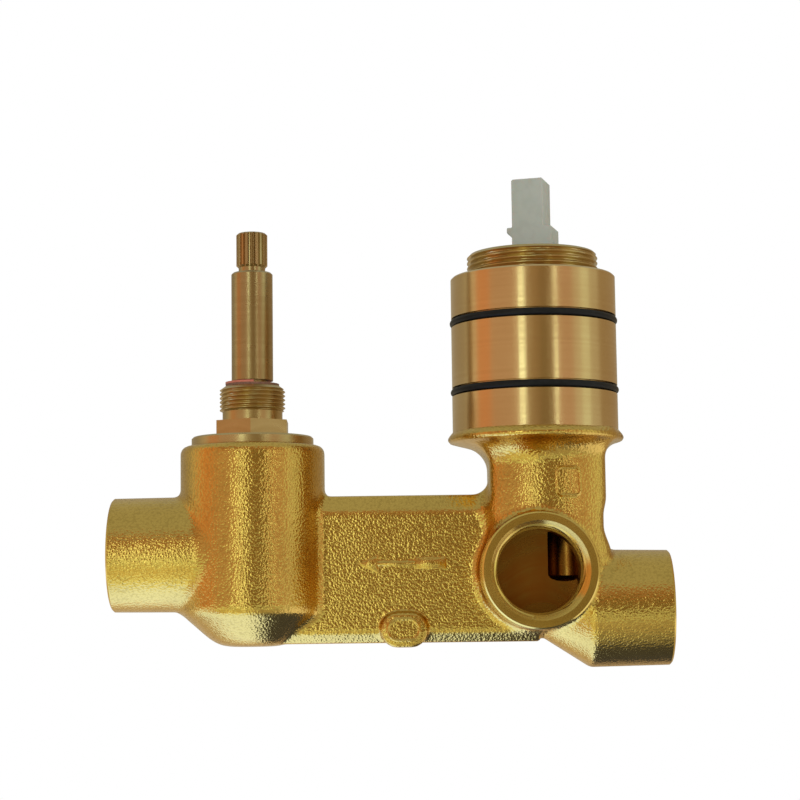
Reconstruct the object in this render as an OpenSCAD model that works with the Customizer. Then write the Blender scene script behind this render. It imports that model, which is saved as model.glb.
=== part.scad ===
/* [Layout] */
// Distance between the diverter axis and the mixing cartridge axis
tower_gap = 81.2; // [78:0.1:86]
// How far the cartridge axis lies to the right of the inlet axis
cartridge_shift = 1; // [0:0.1:2]
// Height of the left outlet axis above the inlet axis
left_outlet_z = 6.3; // [5:0.1:8]
// Depth of the right outlet axis below the inlet axis
right_outlet_drop = 10.3; // [9.5:0.1:11]

/* [Ports] */
// Outer radius of each port boss at its machined end
port_r = 16.2; // [15.8:0.1:17]
// Distance from the valve's middle plane to an inlet's machined face
inlet_reach = 31.5; // [29:0.5:36]
// Length of the left outlet boss beyond the diverter axis
left_reach = 39.8; // [36:0.5:46]
// Length of the right outlet boss beyond the cartridge axis
right_reach = 37; // [34:0.5:44]
// Radius of the pipe thread's crests in a port
port_thread_r = 12.06; // [11.8:0.02:12.6]
// Length of the pipe thread from the machined face
port_thread_len = 9.5; // [8:0.5:11]
// Radius of a port's mouth at the machined face
port_mouth_r = 13.5; // [13.2:0.1:14]
// Radius of a port's bore behind its thread
port_bore_r = 11.5; // [10.5:0.1:11.7]
// Distance from the middle plane to an inlet bore's flat end
inlet_end = 8.5; // [7.5:0.1:10]

/* [Casting] */
// Thickness of the flat web that joins the two towers
web_t = 16; // [14:0.5:20]
// Height of the web's top edge
web_top = 22.2; // [20:0.1:25]
// Depth of the web's bottom edge below the inlet axis
web_drop = 19.4; // [18.5:0.1:22]
// Radius of the rounding along the web's top edges
web_round = 4.8; // [3:0.2:6]
// Radius of the diverter tower
tower_r = 20.6; // [19.5:0.1:22]
// Height of the diverter tower's top face
tower_top = 37; // [36:0.1:42]
// Depth of the diverter tower's bottom below the inlet axis
tower_drop = 20; // [19.6:0.1:23]
// Height of the cone under the diverter tower
tower_cone = 9.5; // [8:0.5:11]
// Rounding of the diverter tower's top edge
tower_round = 2.3; // [1:0.1:3]
// Width of the neck under the cartridge cylinder
neck_w = 32.8; // [31:0.2:36]
// Depth of the neck from front to back
neck_d = 34; // [32:0.5:38]
// How far the neck's middle lies to the right of the cartridge axis
neck_shift = 2.6; // [2:0.1:4]
// Radius of the drilled water channels in the web
channel_r = 5.5; // [4.5:0.1:5.7]
// Radius of the drillings from the inlets up to the cartridge
feed_r = 4.7; // [4:0.1:5]

/* [Cartridge cylinder] */
// Radius of the machined cylinder
cyl_r = 23.7; // [23:0.1:25]
// Height of the cylinder's lower edge
cyl_bottom = 40.2; // [39:0.1:42]
// Height of the cylinder's top face
cyl_top = 84.8; // [83:0.1:90]
// Radius of the cast lip under the cylinder
lip_r = 25.15; // [24.6:0.05:27]
// Height of the lower cylinder ring
ring_z = 51.7; // [48:0.1:54]
// Distance between the two cylinder rings
ring_gap = 20; // [16:0.5:24]
// Section radius of a cylinder ring
ring_r = 1; // [0.8:0.05:1.2]
// How far a cylinder ring stands out of its groove
ring_proud = 0.41; // [0.2:0.01:0.6]
// Radius of the cartridge nut's thread
nut_r = 18.85; // [18.7:0.05:20]
// How far the cartridge nut stands above the cylinder
nut_proud = 6.8; // [5:0.1:9]
// Radius of the hole through the cartridge nut
nut_hole_r = 14.8; // [14.7:0.05:15.5]

/* [Cartridge] */
// Radius of the cartridge housing
cart_r = 17.5; // [17:0.1:18]
// Height of the floor that the cartridge stands on
cart_floor = 43.5; // [42.5:0.1:45]
// Thickness of the rubber seal under the cartridge
base_seal_t = 1; // [0.8:0.1:1.4]
// Height of the cartridge base
base_h = 11.5; // [10:0.5:13]
// Thickness of each ceramic disc of the cartridge
disc_t = 4; // [3:0.1:4.5]
// Distance from the pivot down to the centre of the lever's ball
ball_arm = 11; // [10:0.1:12]
// Radius of the lever's ball
ball_r = 3.6; // [3:0.1:4]
// Radius of the lever's pivot pin
pin_r = 1.5; // [1.2:0.1:1.8]
// Width of the lever where the handle grips it
lever_w = 9.3; // [8:0.1:9.6]
// Depth of the lever where the handle grips it
lever_d = 10; // [9:0.1:12]
// Height of the lever's top
lever_top = 113.2; // [109:0.1:120]
// Height of the lever's shoulder
lever_shoulder = 99.1; // [98:0.1:102]
// How far the lever's foot block reaches to the right
lever_foot = 6.9; // [6:0.1:7.2]
// How far the wing on the foot block reaches to the left
lever_wing = 6.2; // [5.6:0.1:6.6]
// How far the lever is turned from the straight position
lever_turn = -16; // [-20:1:20]
// How far the lever tilts from shut to fully open
lever_tilt = 25; // [20:1:26]

/* [Diverter headwork] */
// Radius of the headwork's flange
flange_r = 17.45; // [16.8:0.05:18]
// Thickness of the headwork's flange
flange_t = 2.6; // [2:0.1:3.5]
// Width across the flats of the headwork's hexagon
hex_w = 20; // [20:0.1:22]
// Height of the headwork's hexagon
hex_h = 4.6; // [3:0.1:6]
// Radius of the headwork's outer thread
head_thread_r = 9.4; // [9.2:0.05:9.7]
// Length of the headwork's outer thread
head_thread_len = 6.3; // [5:0.1:8]
// Radius of the plain groove under the outer thread
relief_r = 8.6; // [8.3:0.05:8.8]
// Height of that groove
relief_h = 2.7; // [2:0.1:4]
// Radius of the spindle
spindle_r = 5.97; // [5.7:0.01:6.2]
// Height of the spindle's upper shoulder
spindle_top = 87.4; // [80:0.1:95]
// Radius of the groove that holds the spindle's clip
clip_groove_r = 4.15; // [3.8:0.05:4.4]
// Outside radius of the clip and of its washer
clip_r = 7.75; // [7.2:0.05:7.9]
// Thickness of the washer under the clip
washer_t = 0.65; // [0.5:0.05:0.8]
// Thickness of the clip
clip_t = 0.6; // [0.5:0.05:0.8]
// Radius over the teeth of the splined head
spline_r = 4.5; // [4.3:0.05:4.8]
// Number of teeth on the splined head
spline_teeth = 20; // [16:1:24]
// Depth of the spline's grooves
spline_depth = 0.5; // [0.35:0.05:0.6]
// Height of the splined head
spline_h = 10.1; // [8:0.1:12]
// Radius of the headwork's buried thread
seat_thread_r = 14.1; // [13.8:0.05:14.4]
// Radius of the headwork's skirt
skirt_r = 12.6; // [12.4:0.05:13]
// Thickness of each ceramic disc of the diverter
diverter_disc_t = 3.5; // [3:0.1:4]
// Thickness of the rubber seal under the diverter discs
seat_seal_t = 1.4; // [1:0.1:1.8]
// Depth of the diverter's seat below the inlet axis
seat_drop = 3; // [2.5:0.1:3.5]

/* [Hidden] */
$fn = 64;

// Clearances
fit = 0.03;      // between pieces screwed or pushed together
pin_fit = 0.01;  // around the lever's pin, where it is held
run = 0.08;      // around a shaft that turns
slack = 0.2;     // between inner pieces that slide past each other
cut = 1;         // how far a cutter runs past the face that it opens

// Shared places, worked out from the driving dimensions
cart_x = cartridge_shift;
div_x = cart_x - tower_gap;
right_outlet_z = -right_outlet_drop;
web_bottom = -web_drop;
tower_bottom = -tower_drop;
left_end = div_x - left_reach;
right_end = cart_x + right_reach;
boss_draft = 0.4;                       // growth of a boss's radius from its end to its root
lip_z = cyl_bottom - 2.2;               // height of the cast lip's middle
waist_in = 1.7;                         // how much the neck narrows on the right, beside the inlets
port_bevel = port_mouth_r - port_thread_r;
bore_wall = 1.4;                        // wall between the left bore and the diverter chamber
chamber_r = 15;
left_bore_end = div_x - chamber_r - bore_wall;
right_bore_end = cart_x + 16;           // flat end of the right outlet's bore

// Cartridge places
base_z = cart_floor + base_seal_t;
fixed_z = base_z + base_h;
moving_z = fixed_z + disc_t;
carrier_z = moving_z + disc_t;
socket_floor = 1.2;                     // carrier's thickness under the lever's ball
carrier_h = 6.1;
plate_t = 1.5;                          // thickness of the swivel's plate
roof_t = 4;                             // thickness of the housing's shoulder
ball_z = carrier_z + socket_floor + slack + ball_r;
pivot_z = ball_z + ball_arm;
guide_bottom = carrier_z + carrier_h + slack;
guide_top = guide_bottom + plate_t + slack;
cart_shoulder = guide_top + roof_t;     // where the nut presses on the housing
housing_bore_r = cart_r - 2.3;
dome_r = nut_hole_r - 2 * slack;
swivel_r = dome_r - 2;
moving_disc_r = housing_bore_r - 5.4;
guide_y = moving_disc_r - 2.4;          // half the gap between the swivel's two cheeks
nut_bottom = cart_shoulder;
nut_top = cyl_top + nut_proud;
nut_bore_r = nut_r - 0.5;               // the nut's bore in the cylinder, at the thread's middle
nut_relief = 0.4;                       // plain groove between the nut's thread and the cylinder
dome_top = nut_top - 3.1;
nut_key_w = 30.2;                       // across the flats of the key hole in the nut
nut_key_h = 5;
lever_half = lever_w / 2;
lever_foot_z = dome_top + 2;            // underside of the lever's foot block
slot_left = lever_half * cos(lever_tilt) + slack
    + (dome_top - pivot_z + lever_half * sin(lever_tilt)) * tan(lever_tilt);
slot_right = ball_arm * sin(lever_tilt) + ball_r + 2 * slack;
slot_y = lever_d / 2 + slack;
feed_x = 6.95;                          // inlet drilling, from the cartridge axis
feed_y = 8;
feed_bottom = -1;
drill_tip = 2;                          // height of the cone that a drill leaves
mixed_x = -8.9;                         // outlet drilling, from the cartridge axis
inlet_hole = [5, 5.4];                  // inlet holes in the base and the discs
outlet_hole_x = -6.5;
inlet_hole_r = 2.4;
outlet_hole_r = 3;

// Headwork places
flange_z = tower_top;
hex_z = flange_z + flange_t;
relief_z = hex_z + hex_h;
head_thread_z = relief_z + relief_h;
head_top = head_thread_z + head_thread_len + 1.1;
groove_z = head_top;
groove_h = 1.65;
spline_neck_h = 1.5;
spline_neck_r = 3.85;
spline_z = spindle_top + spline_neck_h;
seat_z = -seat_drop;
diverter_fixed_z = seat_z + seat_seal_t;
diverter_moving_z = diverter_fixed_z + diverter_disc_t;
foot_z = diverter_moving_z + diverter_disc_t;
foot_gap = 3.5;                         // room for water between the disc and the foot
foot_top = 15.8;
skirt_top = 30;                         // where the skirt meets the buried thread
skirt_wall = 1;
skirt_bore_r = skirt_r - skirt_wall;
diverter_disc_r = skirt_bore_r - slack;
diverter_hole_out = 6.5;                // both outlet holes, from the spindle's axis
diverter_hole_r = 3.4;
first_outlet_a = 225;                   // direction of the left outlet's hole
diverter_swing = 90;                    // angle between the holes of the two outlets
elbow_z = seat_z - 5;                   // where the left outlet's drillings meet
chamber_z = 1.5;
stop_a = 90;                            // direction of the stop rib
stop_half = 12;                         // half the angle that the stop rib takes up
stop_h = 3.4;                           // height of the collar that turns past the rib
stop_in = 2;                            // depth of the collar's notch
stop_margin = 1.5;                      // angle left free at each end of the turn
tab_w = 5;                              // driving tabs under the spindle's foot
tab_t = 3;
tab_x = 6.4;
tab_in = 1.6;                           // how far the tabs reach into the moving disc
ring_groove_w = 2.6;
spindle_ring_r = 0.75;
spindle_rings_z = [24, 33];
gasket_r = 0.8;
gasket_ring_r = 15;

function arc_points(x, y, r, a0, a1, n = 6) =
    [for (i = [0:n]) let (a = a0 + (a1 - a0) * i / n) [x + r * cos(a), y + r * sin(a)]];

module ring(outer, inner, h) {
    difference() {
        cylinder(r = outer, h = h);
        translate([0, 0, -cut]) cylinder(r = inner, h = h + 2 * cut);
    }
}

module o_ring(ring_r, section_r) {
    rotate_extrude() translate([ring_r, 0]) circle(r = section_r, $fn = 24);
}

module sector(outer, inner, h, from, to) {
    rotate([0, 0, from]) rotate_extrude(angle = to - from)
        translate([inner, 0]) square([outer - inner, h]);
}

module at_cartridge() {
    translate([cart_x, 0, 0]) children();
}

module at_diverter() {
    translate([div_x, 0, 0]) children();
}

module turned_lever() {
    at_cartridge() rotate([0, 0, lever_turn]) children();
}

// A boss along +Z from the origin, with its machined end at the top
module port_boss(length, root = 0) {
    edge = 0.5;
    rotate_extrude() polygon([
        [0, root], [port_r + boss_draft, root], [port_r, length - edge],
        [port_r - edge, length], [0, length]
    ]);
}

// The cavity of a port whose machined end is at the origin, cut down to -depth
module port_cavity(depth) {
    rotate_extrude() polygon([
        [0, cut], [port_mouth_r + cut, cut], [port_thread_r, -port_bevel],
        [port_thread_r, -port_thread_len], [port_bore_r, -port_thread_len],
        [port_bore_r, -depth], [0, -depth]
    ]);
}

// The flat web, rounded along its top and bottom edges
module web() {
    bottom_round = 3.4;
    half = web_t / 2;
    length = tower_gap;
    translate([div_x, 0, 0]) rotate([90, 0, 90]) linear_extrude(height = length)
        polygon(concat(
            arc_points(half - web_round, web_top - web_round, web_round, 0, 90),
            arc_points(-half + web_round, web_top - web_round, web_round, 90, 180),
            arc_points(-half + bottom_round, web_bottom + bottom_round, bottom_round, 180, 270),
            arc_points(half - bottom_round, web_bottom + bottom_round, bottom_round, 270, 360)
        ));
}

// Concave fillet in the corner between an upright wall on the right and a level one below
module corner_fillet(x, z, r, left = false) {
    half = web_t / 2 - web_round / 2;
    translate([x, half, z]) mirror([left ? 1 : 0, 0, 0]) rotate([90, 0, 0])
        linear_extrude(height = 2 * half) polygon(concat(
            [[cut, r], [0, r]], arc_points(-r, r, r, 0, -90), [[-r, -cut], [cut, -cut]]
        ));
}

// Fillets where the web's top meets both towers, and where the right outlet meets the neck
module web_fillets() {
    neck_left = cart_x + neck_shift - neck_w / 2;
    neck_right = neck_left + neck_w - waist_in;
    corner_fillet(neck_left, web_top, 4.7);
    corner_fillet(div_x + tower_r, web_top, 2, left = true);
    corner_fillet(neck_right, right_outlet_z + port_r, 3, left = true);
}

module diverter_tower() {
    foot_r = tower_r - 1.1 * tower_cone;
    at_diverter() rotate_extrude() polygon(concat(
        [[0, tower_bottom], [foot_r - 3.2, tower_bottom], [foot_r - 1.4, tower_bottom + 0.2]],
        [[foot_r + 1.4, tower_bottom + 1.5], [tower_r, tower_bottom + tower_cone]],
        arc_points(tower_r - tower_round, tower_top - tower_round, tower_round, 0, 90),
        [[0, tower_top]]
    ));
}

// Section of the neck: bowed front and back, flat sides, rounded corners
module neck_section(grow = 0, trim = 0) {
    bow_r = 26;
    corner = 5;
    half_w = neck_w / 2 + grow - trim / 2;
    half_d = neck_d / 2 + grow;
    intersection() {
        union() {
            square([2 * half_w, 2 * (half_d - corner - 3)], center = true);
            square([2 * (half_w - corner), 2 * half_d], center = true);
            for (x = [-1, 1], y = [-1, 1])
                translate([x * (half_w - corner), y * (half_d - corner - 3)]) circle(r = corner);
        }
        translate([0, half_d - bow_r]) circle(r = bow_r);
        translate([0, bow_r - half_d]) circle(r = bow_r);
    }
}

// The neck: its waist beside the inlets, its shaft, and the flare that carries the lip
module neck() {
    neck_foot = web_bottom + 11.4;
    waist_z = 19.5;
    flare_r = 2.2;
    flare_z = 32.2;
    steps = 4;
    translate([cart_x + neck_shift, 0, 0]) {
        translate([-waist_in / 2, 0, neck_foot]) linear_extrude(height = waist_z - neck_foot)
            neck_section(trim = waist_in);
        translate([0, 0, waist_z]) linear_extrude(height = cyl_bottom - 3 - waist_z) neck_section();
        for (i = [1:steps]) let (a = 90 * i / steps, grow = flare_r * (1 - cos(a)))
            translate([-0.3 * grow, 0, flare_z + flare_r * sin(a - 90 / steps)])
                linear_extrude(height = 1.6) neck_section(grow);
    }
}

// The cast lip and the machined cylinder above it
module cylinder_blank() {
    tip = 0.45;
    edge = 0.5;
    at_cartridge() rotate_extrude() polygon([
        [0, lip_z - 3.4], [15, lip_z - 3.4], [lip_r - 1.1, lip_z - 1], [lip_r, lip_z - tip],
        [lip_r, lip_z + tip],
        [cyl_r, cyl_bottom], [cyl_r, cyl_top - edge], [cyl_r - edge, cyl_top], [0, cyl_top]
    ]);
}

// The inlet boss on the front, with the fillet at its root
module inlet_boss() {
    fillet = 2.5;
    root = web_t / 2;
    edge = 0.4;
    rotate([90, 0, 0]) rotate_extrude() polygon(concat(
        [[0, 0], [port_r + fillet, 0]],
        arc_points(port_r + fillet, root + fillet, fillet, 270, 180),
        [[port_r - boss_draft, inlet_reach - edge], [port_r - boss_draft - edge, inlet_reach],
        [0, inlet_reach]]
    ));
}

// The right outlet's boss and the cone that carries it into the web
module right_boss() {
    cone_h = 11.7;
    root_r = web_drop - right_outlet_drop;
    root_x = cart_x + 2.4;
    translate([root_x, 0, right_outlet_z]) rotate([0, 90, 0]) {
        cylinder(r1 = root_r, r2 = port_r + boss_draft, h = cone_h);
        translate([0, 0, cone_h]) port_boss(right_end - root_x - cone_h);
    }
}

module left_boss() {
    translate([div_x, 0, left_outlet_z]) rotate([0, -90, 0]) port_boss(left_reach);
}

// The oval boss at the middle of the web's bottom edge
module oval_boss() {
    oval_w = 13.4;
    oval_h = 9.8;
    pad_w = 9.8;
    pad_h = 6;
    middle_x = (div_x + cart_x) / 2 + 2.4;
    module oval(w, h, front, back) {
        translate([middle_x, -back, web_bottom - 1.2 + oval_h / 2]) rotate([90, 0, 0])
            linear_extrude(height = front - back) {
                square([w - h, h], center = true);
                for (side = [-1, 1]) translate([side * (w - h) / 2, 0]) circle(d = h);
            }
    }
    oval(oval_w, oval_h, web_t / 2 + 2.4, 2);
    oval(pad_w, pad_h, web_t / 2 + 3, 2);
}

// A drilling straight down from top to bottom, with the cone that the drill leaves
module drilling(x, y, r, top, bottom) {
    translate([x, y, bottom]) {
        cylinder(r = r, h = top - bottom);
        translate([0, 0, -drill_tip]) cylinder(r1 = 0.2, r2 = r, h = drill_tip);
    }
}

module cartridge_cavity() {
    at_cartridge() {
        translate([0, 0, cart_floor]) cylinder(r = cart_r + fit, h = cyl_top);
        translate([0, 0, nut_bottom]) cylinder(r = nut_bore_r, h = cyl_top);
        for (side = [-1, 1]) drilling(feed_x, side * feed_y, feed_r, cart_floor + cut, feed_bottom);
        translate([mixed_x, 0, left_outlet_z])
            cylinder(r = channel_r - 0.7, h = cart_floor + cut - left_outlet_z);
        for (z = [ring_z, ring_z + ring_gap]) translate([0, 0, z - ring_groove_w / 2])
            ring(cyl_r + cut, cyl_r + ring_proud - 2 * ring_r - fit, ring_groove_w);
    }
}

module diverter_cavity() {
    at_diverter() {
        translate([0, 0, seat_z]) cylinder(r = skirt_r + fit, h = tower_top);
        translate([0, 0, chamber_z]) cylinder(r = chamber_r, h = skirt_top - chamber_z);
        translate([0, 0, chamber_z]) cylinder(r = seat_thread_r + fit, h = tower_top);
        translate([0, 0, tower_top - 2 * gasket_r - fit])
            cylinder(r = gasket_ring_r + gasket_r + fit, h = tower_top);
        for (turn = [0, diverter_swing]) rotate([0, 0, first_outlet_a + turn])
            translate([diverter_hole_out, 0, (turn == 0) ? elbow_z - 1 : right_outlet_z])
                cylinder(r = diverter_hole_r, h = chamber_z - right_outlet_z + cut);
    }
}

// Drillings through the two outlets and along the web
module outlet_channels() {
    hole_x = diverter_hole_out * cos(first_outlet_a);
    hole_y = diverter_hole_out * sin(first_outlet_a);
    slant = 24;
    wider = 0.5;
    behind = 2;
    translate([left_end, 0, left_outlet_z]) rotate([0, -90, 0]) port_cavity(left_bore_end - left_end);
    translate([right_end, 0, right_outlet_z]) rotate([0, 90, 0])
        port_cavity(right_end - right_bore_end);
    translate([div_x, 0, left_outlet_z]) rotate([0, 90, 0])
        cylinder(r = channel_r, h = cart_x + mixed_x - div_x);
    translate([div_x - hole_x - diverter_hole_r + 1, 0, right_outlet_z]) rotate([0, 90, 0])
        cylinder(r = channel_r, h = right_bore_end - div_x + cut);
    translate([div_x + hole_x, hole_y, elbow_z]) rotate([0, slant - 90, 0])
        translate([0, 0, -behind]) cylinder(r = diverter_hole_r + wider, h = chamber_r + 5 + behind);
}

module valve_body() {
    color("goldenrod") difference() {
        union() {
            web();
            web_fillets();
            diverter_tower();
            neck();
            cylinder_blank();
            left_boss();
            right_boss();
            inlet_boss();
            mirror([0, 1, 0]) inlet_boss();
            oval_boss();
        }
        cartridge_cavity();
        diverter_cavity();
        outlet_channels();
        for (side = [0, 1]) mirror([0, side, 0])
            translate([0, -inlet_reach, 0]) rotate([90, 0, 0]) port_cavity(inlet_reach - inlet_end);
    }
}

module cylinder_o_ring(z) {
    color("black") at_cartridge() translate([0, 0, z]) o_ring(cyl_r + ring_proud - ring_r, ring_r);
}

// The ring nut: its buried part is a fit smaller than the bore that it is screwed into
module cartridge_nut() {
    edge = 0.9;
    thread_z = cyl_top + nut_relief;
    color("darkgoldenrod") at_cartridge() difference() {
        rotate_extrude() polygon([
            [nut_hole_r, nut_bottom], [nut_bore_r - fit, nut_bottom], [nut_bore_r - fit, thread_z],
            [nut_r, thread_z], [nut_r, nut_top - edge], [nut_r - edge, nut_top], [nut_hole_r, nut_top]
        ]);
        translate([0, 0, nut_top - nut_key_h])
            cylinder(d = nut_key_w / cos(30), h = nut_key_h + cut, $fn = 6);
    }
}

module cartridge_housing() {
    mouth = 0.8;
    color("whitesmoke") at_cartridge() difference() {
        union() {
            translate([0, 0, fixed_z]) cylinder(r = cart_r, h = cart_shoulder - fixed_z);
            translate([0, 0, cart_shoulder]) cylinder(r = dome_r, h = dome_top - cart_shoulder);
        }
        translate([0, 0, fixed_z - cut]) cylinder(r = housing_bore_r, h = guide_top - fixed_z + cut);
        translate([0, 0, guide_top - cut])
            cylinder(r = swivel_r + run, h = dome_top - guide_top + 2 * cut);
        translate([0, 0, dome_top - mouth])
            cylinder(r1 = swivel_r + run, r2 = swivel_r + run + 2 * mouth, h = 2 * mouth);
    }
}

// Two inlet holes and the outlet hole, as the base and the fixed disc share them
module water_holes(h, inlet_r, outlet_r) {
    for (side = [-1, 1]) translate([inlet_hole[0], side * inlet_hole[1], -cut])
        cylinder(r = inlet_r, h = h + 2 * cut);
    translate([outlet_hole_x, 0, -cut]) cylinder(r = outlet_r, h = h + 2 * cut);
}

module cartridge_base() {
    groove_h = 3;
    groove_in = 1.2;
    hole_wider = 0.4;
    color("gainsboro") at_cartridge() translate([0, 0, base_z]) difference() {
        cylinder(r = cart_r, h = base_h);
        water_holes(base_h, inlet_hole_r + hole_wider, outlet_hole_r + hole_wider);
        translate([0, 0, (base_h - groove_h) / 2]) ring(cart_r + cut, cart_r - groove_in, groove_h);
    }
}

module cartridge_base_seal() {
    color("black") at_cartridge() translate([0, 0, cart_floor]) difference() {
        cylinder(r = cart_r - 0.5, h = base_seal_t);
        water_holes(base_seal_t, inlet_hole_r + 1, outlet_hole_r + 1);
    }
}

module cartridge_fixed_disc() {
    color("ivory") at_cartridge() translate([0, 0, fixed_z]) difference() {
        cylinder(r = housing_bore_r - fit, h = disc_t);
        water_holes(disc_t, inlet_hole_r, outlet_hole_r);
    }
}

// The moving disc, with the mixing pocket in its underside
module cartridge_moving_disc() {
    pocket_h = 2.4;
    pocket = [[-4.5, 4.6], [0.1, 3.9]];
    color("ivory") turned_lever() translate([0, 0, moving_z]) difference() {
        cylinder(r = moving_disc_r, h = disc_t);
        translate([0, 0, -cut]) linear_extrude(height = pocket_h + cut) {
            for (lobe = pocket) translate([lobe[0], 0]) circle(r = lobe[1]);
            translate([pocket[0][0], -pocket[1][1]])
                square([pocket[1][0] - pocket[0][0], 2 * pocket[1][1]]);
        }
    }
}

module disc_carrier() {
    carrier_top = guide_bottom - slack;
    color("lightsteelblue") turned_lever() difference() {
        translate([0, 0, carrier_z]) intersection() {
            cylinder(r = moving_disc_r - 0.3, h = carrier_top - carrier_z);
            translate([-moving_disc_r, -guide_y + slack, 0])
                cube([2 * moving_disc_r, 2 * (guide_y - slack), carrier_top - carrier_z]);
        }
        translate([0, 0, ball_z - ball_r - slack]) cylinder(r = ball_r + slack, h = 4 * ball_r);
    }
}

// The rotor that the lever tilts in: a plate, two cheeks beside the carrier and a barrel
module lever_swivel() {
    plate_r = housing_bore_r - slack;
    plate_top = guide_top - slack;
    cheek_w = 16;
    cheek_z = carrier_z + slack;
    color("silver") turned_lever() difference() {
        union() {
            translate([0, 0, guide_bottom]) cylinder(r = plate_r, h = plate_top - guide_bottom);
            translate([0, 0, guide_bottom]) cylinder(r = swivel_r, h = dome_top - guide_bottom);
            translate([0, 0, cheek_z]) difference() {
                intersection() {
                    cylinder(r = plate_r, h = plate_top - cheek_z);
                    translate([-cheek_w / 2, -plate_r, 0])
                        cube([cheek_w, 2 * plate_r, plate_top - cheek_z]);
                }
                translate([-plate_r, -guide_y, -cut])
                    cube([2 * plate_r, 2 * guide_y, guide_bottom - cheek_z + cut]);
            }
        }
        translate([-slot_left, -slot_y, carrier_z - cut])
            cube([slot_left + slot_right, 2 * slot_y, dome_top]);
        pivot_hole(pin_r + pin_fit);
    }
}

// A cutter along the lever's pivot
module pivot_hole(r) {
    translate([0, -cart_r, pivot_z]) rotate([-90, 0, 0]) cylinder(r = r, h = 2 * cart_r);
}

module lever_pin() {
    half = swivel_r - 2 * slack;
    color("gray") turned_lever() translate([0, -half, pivot_z]) rotate([-90, 0, 0])
        cylinder(r = pin_r, h = 2 * half);
}

// The lever: ball, shank, foot block with its wing, and the block that the handle grips
module lever_stem() {
    arm_r = 2.7;
    hub_drop = 4;
    wing_h = 1.5;
    wing_z = lever_shoulder - wing_h;
    edge = 0.4;
    color("lightgray") turned_lever() difference() {
        union() {
            translate([0, 0, ball_z]) sphere(r = ball_r);
            translate([0, 0, ball_z]) cylinder(r = arm_r, h = ball_arm);
            translate([0, lever_d / 2, 0]) rotate([90, 0, 0]) linear_extrude(height = lever_d)
                polygon([
                    [-lever_half, pivot_z - hub_drop], [lever_half, pivot_z - hub_drop],
                    [lever_half, lever_foot_z], [lever_foot, lever_foot_z],
                    [lever_foot, lever_shoulder], [lever_half, lever_shoulder],
                    [lever_half, lever_top - edge], [lever_half - edge, lever_top],
                    [-lever_half + edge, lever_top], [-lever_half, lever_top - edge],
                    [-lever_half, lever_shoulder], [-lever_wing, lever_shoulder],
                    [-lever_wing, wing_z], [-lever_half, wing_z - lever_wing + lever_half]
                ]);
        }
        pivot_hole(pin_r + run);
    }
}

// The headwork's outside, turned from hexagon bar, and its bores and windows
module headwork_body() {
    window_w = 13;
    window_z = diverter_moving_z + 1;
    window_h = 11;
    flange_edge = 0.5;
    thread_edge = 0.4;
    sunk = 0.3;
    rib_z = foot_top - stop_h;
    color("peru") at_diverter() {
        difference() {
            union() {
                rotate_extrude() polygon([
                    [0, diverter_fixed_z], [skirt_r, diverter_fixed_z], [skirt_r, skirt_top],
                    [seat_thread_r, skirt_top], [seat_thread_r, flange_z], [flange_r, flange_z],
                    [flange_r, hex_z - flange_edge], [flange_r - flange_edge, hex_z],
                    [relief_r, hex_z], [relief_r, head_thread_z],
                    [head_thread_r, head_thread_z + thread_edge],
                    [head_thread_r, head_thread_z + head_thread_len],
                    [clip_r + 0.1, head_top], [0, head_top]
                ]);
                translate([0, 0, hex_z - sunk]) rotate([0, 0, 92])
                    cylinder(d = hex_w / cos(30), h = hex_h + sunk, $fn = 6);
            }
            translate([0, 0, seat_z]) cylinder(r = skirt_bore_r, h = foot_top + slack - seat_z);
            cylinder(r = spindle_r + run, h = head_top + cut);
            for (turn = [45, 135]) rotate([0, 0, turn])
                translate([-seat_thread_r - cut, -window_w / 2, window_z])
                    cube([2 * (seat_thread_r + cut), window_w, window_h]);
            translate([0, 0, tower_top - 2 * gasket_r - fit])
                ring(seat_thread_r + cut, gasket_ring_r - gasket_r - fit, 2 * gasket_r + fit);
        }
        translate([0, 0, rib_z])
            sector(skirt_bore_r + sunk, skirt_bore_r - stop_in + slack, stop_h + slack + sunk,
                stop_a - stop_half, stop_a + stop_half);
    }
}

module headwork_o_ring() {
    color("black") at_diverter() translate([0, 0, tower_top - gasket_r - fit])
        o_ring(gasket_ring_r, gasket_r);
}

module spline_head() {
    tooth_a = 360 / spline_teeth;
    bevel = 0.6;
    intersection() {
        linear_extrude(height = spline_h) polygon([for (i = [0:spline_teeth - 1], k = [0:3])
            let (r = (k < 2) ? spline_r : spline_r - spline_depth,
                a = tooth_a * (i + [0, 0.42, 0.58, 0.84][k])) [r * cos(a), r * sin(a)]]);
        rotate_extrude() polygon([
            [0, 0], [spline_r - bevel, 0], [spline_r + 0.1, bevel + 0.1],
            [spline_r + 0.1, spline_h - bevel], [spline_r - bevel, spline_h], [0, spline_h]
        ]);
    }
}

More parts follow.
